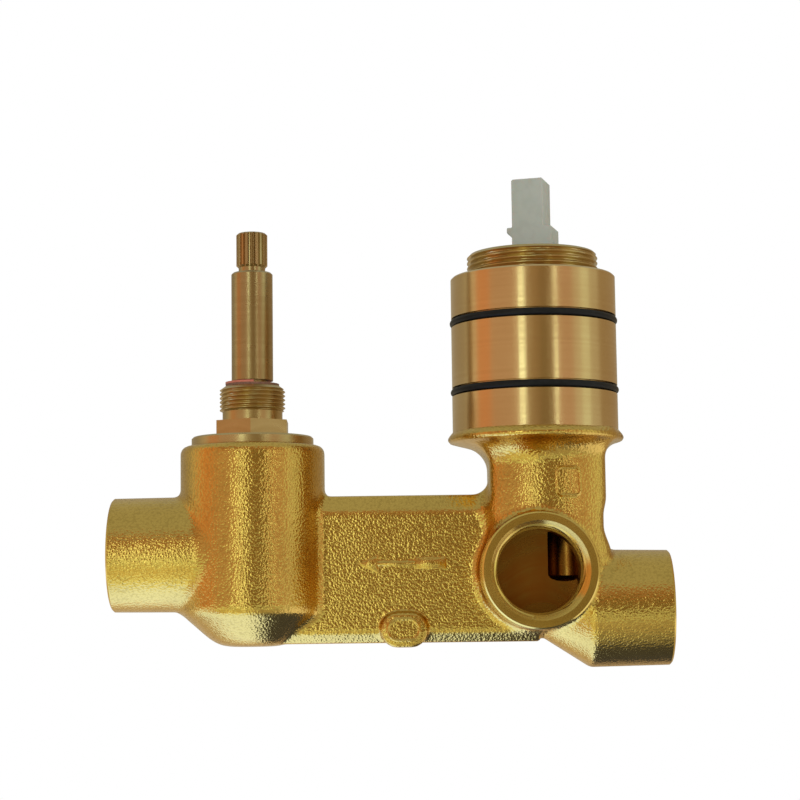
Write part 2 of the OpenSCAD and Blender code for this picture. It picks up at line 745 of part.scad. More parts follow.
// The spindle: foot with its driving tabs, stop collar, shaft, clip groove and splined head
module diverter_spindle() {
    collar_r = skirt_bore_r - 0.3;
    foot_r = collar_r - stop_in - slack;
    shoulder = 0.5;
    foot_bottom = foot_z + foot_gap;
    stop_from = stop_a - diverter_swing - stop_half - stop_margin;
    stop_to = stop_a + stop_half + stop_margin;
    ring_floor_r = spindle_r + run - 2 * (fit + spindle_ring_r);
    ring_slot = 2 * (spindle_ring_r + slack);
    color("sienna") at_diverter() difference() {
        union() {
            translate([0, 0, foot_bottom]) cylinder(r = spindle_r, h = spindle_top - foot_bottom - shoulder);
            translate([0, 0, spindle_top - shoulder])
                cylinder(r1 = spindle_r, r2 = spindle_r - shoulder, h = shoulder);
            translate([0, 0, foot_bottom]) cylinder(r = foot_r, h = foot_top - foot_bottom);
            translate([0, 0, foot_top - stop_h]) cylinder(r = collar_r, h = stop_h);
            translate([0, 0, spindle_top - cut]) cylinder(r = spline_neck_r, h = spline_neck_h + 2 * cut);
            translate([0, 0, spline_z]) spline_head();
            rotate([0, 0, first_outlet_a - 90]) for (side = [-1, 1])
                translate([side * tab_x - tab_w / 2, -tab_t / 2, foot_z - tab_in])
                    cube([tab_w, tab_t, foot_gap + tab_in + cut]);
        }
        translate([0, 0, groove_z]) ring(spindle_r + cut, clip_groove_r, groove_h);
        for (z = spindle_rings_z) translate([0, 0, z - ring_slot / 2])
            ring(spindle_r + cut, ring_floor_r, ring_slot);
        translate([0, 0, foot_top - stop_h - cut])
            sector(collar_r + cut, collar_r - stop_in, stop_h + 2 * cut, stop_from, stop_to);
    }
}

module spindle_washer() {
    color("indianred") at_diverter() translate([0, 0, head_top])
        ring(clip_r - 0.05, spindle_r + run, washer_t);
}

// The clip is open towards the front right, where the spindle's groove shows
module spindle_clip() {
    open_from = -82;
    open_to = 48;
    color("firebrick") at_diverter() translate([0, 0, head_top + washer_t])
        sector(clip_r, clip_groove_r + fit, clip_t, open_to, open_from + 360);
}

module spindle_o_ring(z) {
    color("black") at_diverter() translate([0, 0, z])
        o_ring(spindle_r + run - fit - spindle_ring_r, spindle_ring_r);
}

// The disc that turns, with a window over one outlet hole and two slots for the tabs
module diverter_moving_disc() {
    play = 0.3;
    slot_h = tab_in + slack;
    color("ivory") at_diverter() translate([0, 0, diverter_moving_z]) difference() {
        cylinder(r = diverter_disc_r, h = diverter_disc_t);
        rotate([0, 0, first_outlet_a]) translate([diverter_hole_out, 0, -cut])
            cylinder(r = diverter_hole_r, h = diverter_disc_t + 2 * cut);
        rotate([0, 0, first_outlet_a - 90]) for (side = [-1, 1])
            translate([side * tab_x - (tab_w + play) / 2, -(tab_t + play) / 2, diverter_disc_t - slot_h])
                cube([tab_w + play, tab_t + play, slot_h + cut]);
    }
}

module outlet_pair(r, h) {
    for (turn = [0, diverter_swing]) rotate([0, 0, first_outlet_a + turn])
        translate([diverter_hole_out, 0, -cut]) cylinder(r = r, h = h + 2 * cut);
}

module diverter_fixed_disc() {
    color("ivory") at_diverter() translate([0, 0, diverter_fixed_z]) difference() {
        cylinder(r = skirt_bore_r - fit, h = diverter_disc_t);
        outlet_pair(diverter_hole_r, diverter_disc_t);
    }
}

module diverter_seat_seal() {
    color("black") at_diverter() translate([0, 0, seat_z]) difference() {
        cylinder(r = skirt_r - 0.4, h = seat_seal_t);
        outlet_pair(diverter_hole_r + 0.4, seat_seal_t);
    }
}

valve_body();
cylinder_o_ring(ring_z);  // cylinder_o_ring_lower
cylinder_o_ring(ring_z + ring_gap);  // cylinder_o_ring_upper
cartridge_nut();
cartridge_housing();
cartridge_base();
cartridge_base_seal();
cartridge_fixed_disc();
cartridge_moving_disc();
disc_carrier();
lever_swivel();
lever_pin();
lever_stem();
headwork_body();
headwork_o_ring();
diverter_spindle();
spindle_washer();
spindle_clip();
spindle_o_ring(spindle_rings_z[0]);  // spindle_o_ring_lower
spindle_o_ring(spindle_rings_z[1]);  // spindle_o_ring_upper
diverter_moving_disc();
diverter_fixed_disc();
diverter_seat_seal();
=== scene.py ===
import math

import bmesh
import bpy
from mathutils import Matrix, Vector


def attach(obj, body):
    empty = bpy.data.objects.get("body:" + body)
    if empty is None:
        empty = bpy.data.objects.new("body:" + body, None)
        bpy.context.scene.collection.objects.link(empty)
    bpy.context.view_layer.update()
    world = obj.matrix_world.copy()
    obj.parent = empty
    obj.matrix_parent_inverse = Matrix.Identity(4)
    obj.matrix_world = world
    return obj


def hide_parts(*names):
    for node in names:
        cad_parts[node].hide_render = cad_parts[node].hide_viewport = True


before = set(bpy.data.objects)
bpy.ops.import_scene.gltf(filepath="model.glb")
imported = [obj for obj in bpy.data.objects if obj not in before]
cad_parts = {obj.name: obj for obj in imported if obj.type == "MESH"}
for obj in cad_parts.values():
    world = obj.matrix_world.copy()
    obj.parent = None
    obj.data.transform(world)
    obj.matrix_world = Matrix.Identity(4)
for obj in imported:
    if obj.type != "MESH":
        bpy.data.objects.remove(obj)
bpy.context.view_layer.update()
mm = 0.001

# Shared places of the valve, in millimetres
place = {
    "cartridgeX": 1.0, "diverterX": -80.2, "leftEnd": -120.0, "rightEnd": 38.0, "inletEnd": 31.5,
    "leftZ": 6.3, "rightZ": -10.3, "webTop": 22.2, "webBottom": -19.4,
}
cartridgeX, diverterX = place["cartridgeX"], place["diverterX"]


# One value in a node tree, so that a rule can be written as a sum
class Term:
    def __init__(self, tree, source):
        self.tree = tree
        self.source = source

    def calc(self, operation, *others):
        node = self.tree.nodes.new("ShaderNodeMath")
        node.operation = operation
        for socket, item in zip(node.inputs, (self,) + others):
            if isinstance(item, Term):
                self.tree.links.new(item.source, socket)
            else:
                socket.default_value = item
        return Term(self.tree, node.outputs[0])

    def __add__(self, other):
        return self.calc("ADD", other)

    def __sub__(self, other):
        return self.calc("SUBTRACT", other)

    def __rsub__(self, other):
        return self.calc("MULTIPLY_ADD", -1.0, other)

    def __mul__(self, other):
        return self.calc("MULTIPLY", other)

    def __truediv__(self, other):
        return self.calc("DIVIDE", other)

    def __neg__(self):
        return self.calc("MULTIPLY", -1.0)

    def __abs__(self):
        return self.calc("ABSOLUTE")

    def least(self, other):
        return self.calc("MINIMUM", other)

    def most(self, other):
        return self.calc("MAXIMUM", other)

    def ramp(self, low, high):
        node = self.tree.nodes.new("ShaderNodeMapRange")
        node.interpolation_type = "SMOOTHSTEP"
        self.tree.links.new(self.source, node.inputs["Value"])
        node.inputs["From Min"].default_value = low
        node.inputs["From Max"].default_value = high
        return Term(self.tree, node.outputs[0])


def reach(a, b):
    return (a * a + b * b).calc("SQRT")


# What either of two shapes fills, with a round fillet between them
def fillet(a, b, radius):
    return a.least(b).most(radius) - reach((radius - a).most(0.0), (radius - b).most(0.0))


# What both of two shapes fill, with a round edge
def rounded(a, b, radius):
    return a.most(b).least(-radius) + reach((a + radius).most(0.0), (b + radius).most(0.0))


def newTree(name, kind, inputs, outputs):
    tree = bpy.data.node_groups.new(name, kind)
    for label, socketType, value in inputs:
        socket = tree.interface.new_socket(label, in_out="INPUT", socket_type=socketType)
        if value is not None:
            socket.default_value = value
    for label, socketType in outputs:
        tree.interface.new_socket(label, in_out="OUTPUT", socket_type=socketType)
    enter = tree.nodes.new("NodeGroupInput")
    leave = tree.nodes.new("NodeGroupOutput")
    return tree, enter, leave


def addNode(tree, kind, settings=None, links=None):
    node = tree.nodes.new(kind)
    for key, value in (settings or {}).items():
        if key in node.inputs:
            node.inputs[key].default_value = value
        else:
            setattr(node, key, value)
    for key, source in (links or {}).items():
        tree.links.new(source.source if isinstance(source, Term) else source, node.inputs[key])
    return node


def newObject(name, mesh):
    made = bpy.data.objects.new(name, mesh)
    bpy.context.scene.collection.objects.link(made)
    return made


# Keeps the mesh that the modifiers make, without the material slots that it leaves empty
def settle(thing):
    shape = thing.evaluated_get(bpy.context.evaluated_depsgraph_get())
    mesh = bpy.data.meshes.new_from_object(shape)
    used = [material for material in mesh.materials if material]
    slots = [used.index(material) if material else 0 for material in mesh.materials]
    indexes = [slots[face.material_index] for face in mesh.polygons]
    mesh.materials.clear()
    for material in used:
        mesh.materials.append(material)
    for face, index in zip(mesh.polygons, indexes):
        face.material_index = index
    thing.modifiers.clear()
    thing.data = mesh
    return thing


# Runs a geometry tree once and keeps its mesh
def grow(name, tree, values):
    made = newObject(name, bpy.data.meshes.new(name))
    modifier = made.modifiers.new(name, "NODES")
    modifier.node_group = tree
    for item in tree.interface.items_tree:
        if item.item_type == "SOCKET" and item.in_out == "INPUT" and item.name in values:
            modifier[item.identifier] = values[item.name]
    return settle(made)


def discard(things):
    for thing in things:
        bpy.data.objects.remove(thing)


# Adds and cuts other closed meshes in turn, then drops them
def carve(target, steps):
    for operation, tool in steps:
        modifier = target.modifiers.new(tool.name, "BOOLEAN")
        modifier.operation = operation
        modifier.solver = "MANIFOLD"
        modifier.material_mode = "INDEX"
        modifier.object = tool
    settle(target)
    discard([tool for _, tool in steps])
    return target


# Gives a mesh all the casting's materials, and its faces the one named, or below a height the deep one, a
# darker material painting shade deep in a bore
def paint(mesh, material, spot=None, deep=None, below=0.0):
    mesh.materials.clear()
    for each in castingMaterials:
        mesh.materials.append(each)
    back = spot.inverted() if spot else None
    for face in mesh.polygons:
        # Faces below the height get the darker deep material, painted shade
        inPaintedShade = deep is not None and (back @ face.center).z < below * mm
        face.material_index = castingMaterials.index(deep if inPaintedShade else material)


# A turned closed mesh from (radius, height) pairs in millimetres, about the axis of spot
def lathe(name, profile, spot, material, steps=96, deep=None, below=0.0):
    shape = bmesh.new()
    rings = []
    for radius, height in profile:
        count = steps if radius > 0 else 1
        rings.append([
            shape.verts.new(spot @ Vector((
                radius * mm * math.cos(2 * math.pi * i / steps),
                radius * mm * math.sin(2 * math.pi * i / steps),
                height * mm,
            )))
            for i in range(count)
        ])
    if profile[0][0] > 0:
        rings.append(rings[0])
    for low, high in zip(rings, rings[1:]):
        for i in range(steps):
            j = (i + 1) % steps
            corners = [low[i % len(low)], low[j % len(low)], high[j % len(high)], high[i % len(high)]]
            unique = list(dict.fromkeys(corners))
            if len(unique) > 2:
                shape.faces.new(unique)
    bmesh.ops.recalc_face_normals(shape, faces=shape.faces)
    mesh = bpy.data.meshes.new(name)
    shape.to_mesh(mesh)
    shape.free()
    paint(mesh, material, spot, deep, below)
    return newObject(name, mesh)


def axisSpot(origin, direction):
    turn = Vector(direction).to_track_quat("Z", "Y").to_matrix().to_4x4()
    return Matrix.Translation(Vector(origin) * mm) @ turn


# A closed outline, counter-clockwise, moved outward by a distance
def offsetOutline(outline, distance):
    moved = []
    for before, at, after in zip(outline[-1:] + outline[:-1], outline, outline[1:] + outline[:1]):
        first = (Vector(at) - Vector(before)).normalized()
        second = (Vector(after) - Vector(at)).normalized()
        normals = Vector((first.y, -first.x)) + Vector((second.y, -second.x))
        moved.append(Vector(at) + normals * distance / (1 + first.dot(second)))
    return moved


# A raised mark with sloping sides from a closed outline in millimetres, with an optional inner outline
def mark(name, outer, inner, spot, back, front, slope, material):
    shape = bmesh.new()
    loops = []
    for outline, side in [(outer, -1)] + ([(inner, 1)] if inner else []):
        for depth in (back, front):
            loops.append([shape.verts.new(spot @ Vector((x * mm, y * mm, depth * mm)))
                          for x, y in offsetOutline(outline, side * depth * slope)])
    for low, high in zip(loops[0::2], loops[1::2]):
        for i in range(len(low)):
            j = (i + 1) % len(low)
            shape.faces.new([low[i], low[j], high[j], high[i]])
    if inner:
        for outerLoop, innerLoop in ((loops[0], loops[2]), (loops[1], loops[3])):
            for i in range(len(outerLoop)):
                j = (i + 1) % len(outerLoop)
                shape.faces.new([outerLoop[i], outerLoop[j], innerLoop[j], innerLoop[i]])
    else:
        shape.faces.new(loops[0])
        shape.faces.new(loops[1])
        bmesh.ops.triangulate(shape, faces=shape.faces)
    bmesh.ops.recalc_face_normals(shape, faces=shape.faces)
    mesh = bpy.data.meshes.new(name)
    shape.to_mesh(mesh)
    shape.free()
    paint(mesh, material)
    return newObject(name, mesh)


# A smooth skin whose edges stay sharp where they are steeper than the limit for that skin
def smoothSkin(thing, castLimit, machinedLimit, castSlots=()):
    shape = bmesh.new()
    shape.from_mesh(thing.data)
    for face in shape.faces:
        face.smooth = True
    for edge in shape.edges:
        if len(edge.link_faces) == 2:
            cast = all(face.material_index in castSlots for face in edge.link_faces)
            limit = castLimit if cast else machinedLimit
            edge.smooth = edge.calc_face_angle(0.0) < math.radians(limit)
    shape.to_mesh(thing.data)
    shape.free()


# Blasted cast metal: fine noise less the distance in small cells, with painted shade in its crevices and
# soft patches of random tone
grainLook = {
    "fineScale": 1.3, "fineShare": 0.5, "cellScale": 0.8, "cellShare": 0.8,
    "creviceShade": (0.05, 0.45), "creviceShadeShare": 0.7, "patch": (0.35, 0.65), "patchShare": 0.3,
}


def grainGroup():
    tree, enter, leave = newTree("castGrain", "ShaderNodeTree", [
        ("Grain", "NodeSocketFloat", 1100.0), ("Patch", "NodeSocketFloat", 70.0),
    ], [("Height", "NodeSocketFloat"), ("Tone", "NodeSocketFloat")])
    spot = addNode(tree, "ShaderNodeTexCoord").outputs["Object"]
    scale = Term(tree, enter.outputs["Grain"])
    fine = addNode(tree, "ShaderNodeTexNoise", {"Detail": 1.0},
                   {"Vector": spot, "Scale": scale * grainLook["fineScale"]})
    cells = addNode(tree, "ShaderNodeTexVoronoi", {},
                    {"Vector": spot, "Scale": scale * grainLook["cellScale"]})
    patch = addNode(tree, "ShaderNodeTexNoise", {"Detail": 3.0},
                    {"Vector": spot, "Scale": enter.outputs["Patch"]})
    height = Term(tree, fine.outputs["Fac"]) * grainLook["fineShare"]
    height = height - Term(tree, cells.outputs["Distance"]) * grainLook["cellShare"]
    # Painted shade: the colour darkens where the grain's height is low, standing in for shade in its
    # crevices
    creviceShade = (-height).ramp(*grainLook["creviceShade"])
    stain = Term(tree, patch.outputs["Fac"]).ramp(*grainLook["patch"])
    # The tone sums the painted crevice shade and the random stains
    tone = creviceShade * grainLook["creviceShadeShare"] + stain * grainLook["patchShare"]
    tree.links.new(height.source, leave.inputs["Height"])
    tree.links.new(tone.source, leave.inputs["Tone"])
    return tree


# Turned metal: fine lines along the cut, with slow bands and stains in its tone
turnedLook = {
    "bandScale": 0.11, "bandShare": 0.25, "stainScale": 45.0, "stainShare": 0.75, "contrast": (0.36, 0.64),
}


def turnedGroup():
    tree, enter, leave = newTree("turnedLines", "ShaderNodeTree", [
        ("Along", "NodeSocketFloat", 0.0), ("Pitch", "NodeSocketFloat", 0.0002),
    ], [("Height", "NodeSocketFloat"), ("Tone", "NodeSocketFloat")])
    along = Term(tree, enter.outputs["Along"]) / Term(tree, enter.outputs["Pitch"])
    lines, bands = [
        addNode(tree, "ShaderNodeTexNoise", {"noise_dimensions": "1D", "Scale": scale, "Detail": 2.0},
                {"W": along})
        for scale in (1.0, turnedLook["bandScale"])
    ]
    spot = addNode(tree, "ShaderNodeTexCoord").outputs["Object"]
    stain = addNode(tree, "ShaderNodeTexNoise", {"Scale": turnedLook["stainScale"], "Detail": 4.0},
                    {"Vector": spot})
    tone = Term(tree, bands.outputs["Fac"]) * turnedLook["bandShare"]
    tone = tone + Term(tree, stain.outputs["Fac"]) * turnedLook["stainShare"]
    tree.links.new(lines.outputs["Fac"], leave.inputs["Height"])
    tree.links.new(tone.ramp(*turnedLook["contrast"]).source, leave.inputs["Tone"])
    return tree


groups = {"grain": grainGroup(), "turned": turnedGroup()}


# A material with its Principled node and a group feeding colour, roughness and bump
def metalMaterial(name, look, along=None):
    material = bpy.data.materials.new(name)
    material.use_nodes = True
    tree = material.node_tree
    shader = tree.nodes["Principled BSDF"]
    if along is None:
        group = addNode(tree, "ShaderNodeGroup", {"node_tree": groups["grain"]})
        group.inputs["Grain"].default_value = look["grain"]
    else:
        group = addNode(tree, "ShaderNodeGroup", {"node_tree": groups["turned"]})
        tree.links.new(along(tree).source, group.inputs["Along"])
        group.inputs["Pitch"].default_value = look["pitch"]
    # The tone mixes the base and deep colours: painted crevice shade and random stains from the grain,
    # random bands and stains from the turned lines
    colour = addNode(tree, "ShaderNodeMix", {"data_type": "RGBA"})
    tree.links.new(group.outputs["Tone"], colour.inputs[0])
    colour.inputs[6].default_value = (*look["base"], 1.0)
    colour.inputs[7].default_value = (*look["deep"], 1.0)
    tree.links.new(colour.outputs[2], shader.inputs["Base Color"])
    roughness = Term(tree, group.outputs["Tone"]) * look["roughnessSpan"] + look["roughness"]
    tree.links.new(roughness.source, shader.inputs["Roughness"])
    bump = addNode(tree, "ShaderNodeBump", {"Strength": 1.0, "Distance": look["bump"] * mm},
                   {"Height": group.outputs["Height"]})
    tree.links.new(bump.outputs["Normal"], shader.inputs["Normal"])
    shader.inputs["Metallic"].default_value = look.get("metallic", 1.0)
    shader.inputs["Specular IOR Level"].default_value = look.get("specular", 0.5)
    if "subsurface" in look:
        shader.inputs["Subsurface Weight"].default_value = look["subsurface"]
        shader.inputs["Subsurface Scale"].default_value = look["subsurfaceScale"]
    return material


def objectAxes(tree):
    split = addNode(tree, "ShaderNodeSeparateXYZ", {},
                    {"Vector": addNode(tree, "ShaderNodeTexCoord").outputs["Object"]})
    return [Term(tree, split.outputs[i]) for i in range(3)]


# Distance along a turned surface: up the axis on its wall, outward on its faces
def alongZ(axisX):
    def build(tree):
        x, y, z = objectAxes(tree)
        return z + reach(x - axisX * mm, y)
    return build


def alongY(tree):
    x, y, z = objectAxes(tree)
    return abs(y) + reach(x, z)


def alongX(axisZ):
    def build(tree):
        x, y, z = objectAxes(tree)
        return abs(x) + reach(y, z - axisZ * mm)
    return build


print("stage: materials")
# In the looks that use the grain (cast, lever and plain ones), the deep colour also paints shade into the
# grain's crevices
castLook = {"base": (0.71, 0.465, 0.115), "deep": (0.55, 0.355, 0.085), "grain": 1800.0, "bump": 0.10,
            "roughness": 0.13, "roughnessSpan": 0.10}
cylinderLook = {"base": (0.70, 0.51, 0.255), "deep": (0.66, 0.46, 0.22), "pitch": 0.00012, "bump": 0.002,
                "roughness": 0.18, "roughnessSpan": 0.05}
portLook = {"base": (0.78, 0.56, 0.15), "deep": (0.70, 0.47, 0.12), "pitch": 0.00016, "bump": 0.003,
            "roughness": 0.18, "roughnessSpan": 0.08}
# Painted shade: darker, redder brass for the far ends of the ports and for the feed drillings, where shade
# falls deep in the bores
shadedBoreLook = {"base": (0.34, 0.20, 0.040), "deep": (0.30, 0.11, 0.016), "pitch": 0.0003, "bump": 0.004,
            "roughness": 0.22, "roughnessSpan": 0.10}
nutLook = {"base": (0.59, 0.45, 0.215), "deep": (0.51, 0.37, 0.16), "pitch": 0.0002, "bump": 0.002,
           "roughness": 0.2, "roughnessSpan": 0.08}
barLook = {"base": (0.48, 0.36, 0.18), "deep": (0.42, 0.30, 0.14), "pitch": 0.00022, "bump": 0.003,
           "roughness": 0.24, "roughnessSpan": 0.08}
headworkLook = {"base": (0.58, 0.44, 0.215), "deep": (0.52, 0.38, 0.17), "pitch": 0.00022, "bump": 0.003,
                "roughness": 0.24, "roughnessSpan": 0.08}

castBrass = metalMaterial("castBrass", castLook)
cylinderBrass = metalMaterial("cylinderBrass", cylinderLook, alongZ(cartridgeX))
inletBrass = metalMaterial("inletBrass", portLook, alongY)
leftBrass = metalMaterial("leftBrass", portLook, alongX(place["leftZ"]))
rightBrass = metalMaterial("rightBrass", portLook, alongX(place["rightZ"]))
wellBrass = metalMaterial("wellBrass", portLook, alongZ(diverterX))
nutBrass = metalMaterial("nutBrass", nutLook, alongZ(cartridgeX))
barBrass = metalMaterial("barBrass", barLook, alongZ(diverterX))
headworkBrass = metalMaterial("headworkBrass", headworkLook, alongZ(diverterX))
shadedBoreBrass = metalMaterial("shadedBoreBrass", shadedBoreLook, alongZ(cartridgeX))
castingMaterials = [
    castBrass, cylinderBrass, inletBrass, leftBrass, rightBrass, wellBrass, shadedBoreBrass, nutBrass,
    headworkBrass,
]

print("stage: casting skin")

# The casting's skin in millimetres. Each shape below is a distance, less than zero inside it. A lean is
# a slope's share outward and its share up or down, and a blend is how far two faces round into each other.
casting = {
    "voxel": 0.72, "low": (-123.0, -35.0, -29.0), "high": (41.0, 35.0, 43.0), "spare": 1.0,
    "towerRadius": 20.6, "webHalf": 8.0, "neckHalf": 16.4, "lipRadius": 25.15,
    "castLimit": 62, "machinedLimit": 25,
}

webSizes = {
    "edge": 3.4, "shoulder": 4.5, "shoulderLean": (0.82, 0.57), "shoulderBlend": 0.9,
    "bevel": 2.05, "bevelLean": (0.707, 0.707), "bevelBlend": 0.4,
}


# Web between the towers, with a sloping shoulder on top and a bevel below
def webShape(x, z, depth, webHalf):
    edge = webSizes["edge"]
    middle = (place["webTop"] + place["webBottom"]) / 2
    halfHeight = (place["webTop"] - place["webBottom"]) / 2
    outY = depth - (webHalf - edge)
    outZ = abs(z - middle) - (halfHeight - edge)
    web = reach(outY.most(0.0), outZ.most(0.0)) + outY.most(outZ).least(0.0) - edge
    outward, upward = webSizes["shoulderLean"]
    shoulder = (depth - webHalf) * outward + (z - place["webTop"] + webSizes["shoulder"]) * upward
    web = web.calc("SMOOTH_MAX", shoulder, webSizes["shoulderBlend"])
    outward, downward = webSizes["bevelLean"]
    bevel = (depth - webHalf) * outward + (place["webBottom"] - z) * downward + webSizes["bevel"]
    web = web.calc("SMOOTH_MAX", bevel, webSizes["bevelBlend"])
    return web.most(abs(x - (cartridgeX + diverterX) / 2) - (cartridgeX - diverterX) / 2)


towerSizes = {
    "top": 37.0, "topEdge": 2.3, "coneTop": -10.5, "coneLean": (0.662, 0.749), "coneBlend": 2.0,
    "bottom": -20.0, "bottomBlend": 4.5,
}


# Diverter tower with the cone under it
def towerShape(x, y, z, towerRadius):
    fromWall = reach(x - diverterX, y) - towerRadius
    tower = rounded(fromWall, z - towerSizes["top"], towerSizes["topEdge"])
    outward, downward = towerSizes["coneLean"]
    cone = fromWall * outward - (z - towerSizes["coneTop"]) * downward
    tower = tower.calc("SMOOTH_MAX", cone, towerSizes["coneBlend"])
    return tower.calc("SMOOTH_MAX", towerSizes["bottom"] - z, towerSizes["bottomBlend"])


# Outlet bosses along X, the right one with a cone behind it, and inlet bosses along Y
bossSizes = {
    "leftRadius": 16.2, "leftTaper": 0.01005,
    "coneX": 3.4, "coneRadius": 9.1, "coneRise": 0.641, "coneScale": 0.8417, "coneBlend": 0.8,
    "rightX": 15.1, "rightRadius": 16.6, "rightTaper": 0.01747,
    "inletY": 8.0, "inletRadius": 16.2, "inletTaper": 0.017,
}


def leftShape(x, y, z):
    radius = (x - place["leftEnd"]) * bossSizes["leftTaper"] + bossSizes["leftRadius"]
    boss = reach(y, z - place["leftZ"]) - radius
    return boss.most(x - diverterX).most(place["leftEnd"] - casting["spare"] - x)


def rightShape(x, y, z):
    fromAxis = reach(y, z - place["rightZ"])
    cone = fromAxis - (x - bossSizes["coneX"]) * bossSizes["coneRise"] - bossSizes["coneRadius"]
    wall = fromAxis + (x - bossSizes["rightX"]) * bossSizes["rightTaper"] - bossSizes["rightRadius"]
    boss = (cone * bossSizes["coneScale"]).calc("SMOOTH_MAX", wall, bossSizes["coneBlend"])
    return boss.most(x - (place["rightEnd"] + casting["spare"]))


def inletShape(x, z, depth):
    boss = reach(x, z) + (depth - bossSizes["inletY"]) * bossSizes["inletTaper"]
    return (boss - bossSizes["inletRadius"]).most(depth - (place["inletEnd"] + casting["spare"]))


neckSizes = {
    "shift": 2.6, "waist": 0.9, "waistTop": (15.5, 20.8), "flare": 2.2, "flareTop": (12.5, 4.5),
    "bowRadius": 26.0, "bowBack": 9.0, "bowBlend": 2.5, "bottom": -8.0, "top": 38.0,
}


# Neck: bowed front and back, narrower on its right above the inlets and wider again beside them
def neckShape(neckX, z, depth, neckHalf):
    flareStart, flareEnd = neckSizes["flareTop"]
    waist = neckSizes["waist"] - z.ramp(*neckSizes["waistTop"]) * neckSizes["waist"]
    waist = waist - (-z).ramp(-flareStart, -flareEnd) * neckSizes["flare"]
    sides = (neckX - neckHalf + waist).most(-neckX - neckHalf)
    bow = reach(neckX, depth + neckSizes["bowBack"]) - neckSizes["bowRadius"]
    neck = sides.calc("SMOOTH_MAX", bow, neckSizes["bowBlend"])
    return neck.most(neckSizes["bottom"] - z).most(z - neckSizes["top"])


lipSizes = {
    "rootRadius": 15.0, "rootZ": 34.6, "underLean": (0.256, 0.967), "edgeBlend": 1.0,
    "overZ": 38.45, "overLean": (0.770, 0.638), "overBlend": 0.5, "top": 40.2,
}


# Lip under the machined cylinder
def lipShape(x, y, z, lipRadius):
    fromAxis = reach(x - cartridgeX, y)
    fromEdge = fromAxis - lipRadius
    outward, upward = lipSizes["underLean"]
    under = (fromAxis - lipSizes["rootRadius"]) * outward - (z - lipSizes["rootZ"]) * upward
    outward, upward = lipSizes["overLean"]
    over = fromEdge * outward + (z - lipSizes["overZ"]) * upward
    lip = under.calc("SMOOTH_MAX", fromEdge, lipSizes["edgeBlend"])
    return lip.calc("SMOOTH_MAX", over, lipSizes["overBlend"]).most(z - lipSizes["top"])


ovalSizes = {
    "x": -37.2, "z": -15.7, "halfLength": 1.8, "radius": 4.9, "front": 10.4, "back": 6.0, "edge": 0.8,
}


# Oval boss on the web's bottom edge
def ovalShape(x, y, z):
    beyond = (abs(x - ovalSizes["x"]) - ovalSizes["halfLength"]).most(0.0)
    oval = reach(beyond, z - ovalSizes["z"]) - ovalSizes["radius"]
    return rounded(oval, -y - ovalSizes["front"], ovalSizes["edge"]).most(y + ovalSizes["back"])


# Radii of the fillets, and the heights between which two of them grow
filletSizes = {
    "tower": 0.05, "towerMore": 2.0, "towerGrows": (-19.0, -11.0), "left": 1.8,
    "neck": 2.3, "neckMore": 2.4, "neckGrows": (10.0, 19.0), "neckSide": 4.0,
    "right": 1.4, "inlet": 2.2, "lip": 4.2, "lipMore": 1.0, "oval": 0.45,
}


def castingTree(dims):
    tree, enter, leave = newTree("castingSkin", "GeometryNodeTree", [
        ("Tower radius", "NodeSocketFloat", dims["towerRadius"]),
        ("Web half thickness", "NodeSocketFloat", dims["webHalf"]),
        ("Neck half width", "NodeSocketFloat", dims["neckHalf"]),
        ("Lip radius", "NodeSocketFloat", dims["lipRadius"]),
        ("Skin", "NodeSocketMaterial", None),
    ], [("Geometry", "NodeSocketGeometry")])
    towerRadius, webHalf, neckHalf, lipRadius = [Term(tree, enter.outputs[i]) for i in range(4)]
    split = addNode(tree, "ShaderNodeSeparateXYZ", {},
                    {"Vector": addNode(tree, "GeometryNodeInputPosition").outputs[0]})
    x, y, z = [Term(tree, split.outputs[i]) * 1000.0 for i in range(3)]
    depth = abs(y)
    neckX = x - (cartridgeX + neckSizes["shift"])
    leftOfNeck = (-neckX).ramp(-filletSizes["neckSide"], filletSizes["neckSide"])

    towerFillet = z.ramp(*filletSizes["towerGrows"]) * filletSizes["towerMore"] + filletSizes["tower"]
    neckGrowth = z.ramp(*filletSizes["neckGrows"]) * filletSizes["neckMore"]
    skin = fillet(webShape(x, z, depth, webHalf), towerShape(x, y, z, towerRadius), towerFillet)
    skin = fillet(skin, leftShape(x, y, z), filletSizes["left"])
    skin = fillet(skin, neckShape(neckX, z, depth, neckHalf), leftOfNeck * neckGrowth + filletSizes["neck"])
    skin = fillet(skin, rightShape(x, y, z), filletSizes["right"])
    skin = fillet(skin, inletShape(x, z, depth), filletSizes["inlet"])
    lipFillet = leftOfNeck * filletSizes["lipMore"] + filletSizes["lip"]
    skin = fillet(skin, lipShape(x, y, z, lipRadius), lipFillet)
    skin = fillet(skin, ovalShape(x, y, z), filletSizes["oval"])

    # The density is one where the distance is nought, and there the mesh is made
    countX, countY, countZ = [round((b - a) / dims["voxel"]) for a, b in zip(dims["low"], dims["high"])]
    cube = addNode(tree, "GeometryNodeVolumeCube", {
        "Background": 0.0, "Min": [v * mm for v in dims["low"]], "Max": [v * mm for v in dims["high"]],
        "Resolution X": countX, "Resolution Y": countY, "Resolution Z": countZ,
    }, {"Density": (1.0 - skin)})
    mesh = addNode(tree, "GeometryNodeVolumeToMesh", {"Threshold": 1.0}, {"Volume": cube.outputs[0]})
    painted = addNode(tree, "GeometryNodeSetMaterial", {},
                      {"Geometry": mesh.outputs[0], "Material": enter.outputs["Skin"]})
    tree.links.new(painted.outputs[0], leave.inputs[0])
    return tree


castBody = grow("castBody", castingTree(casting), {"Skin": castBrass})
paint(castBody.data, castBrass)
heights = [vertex.co.z / mm for vertex in castBody.data.vertices]
print("skin faces", len(castBody.data.polygons), round(min(heights), 2), round(max(heights), 2))

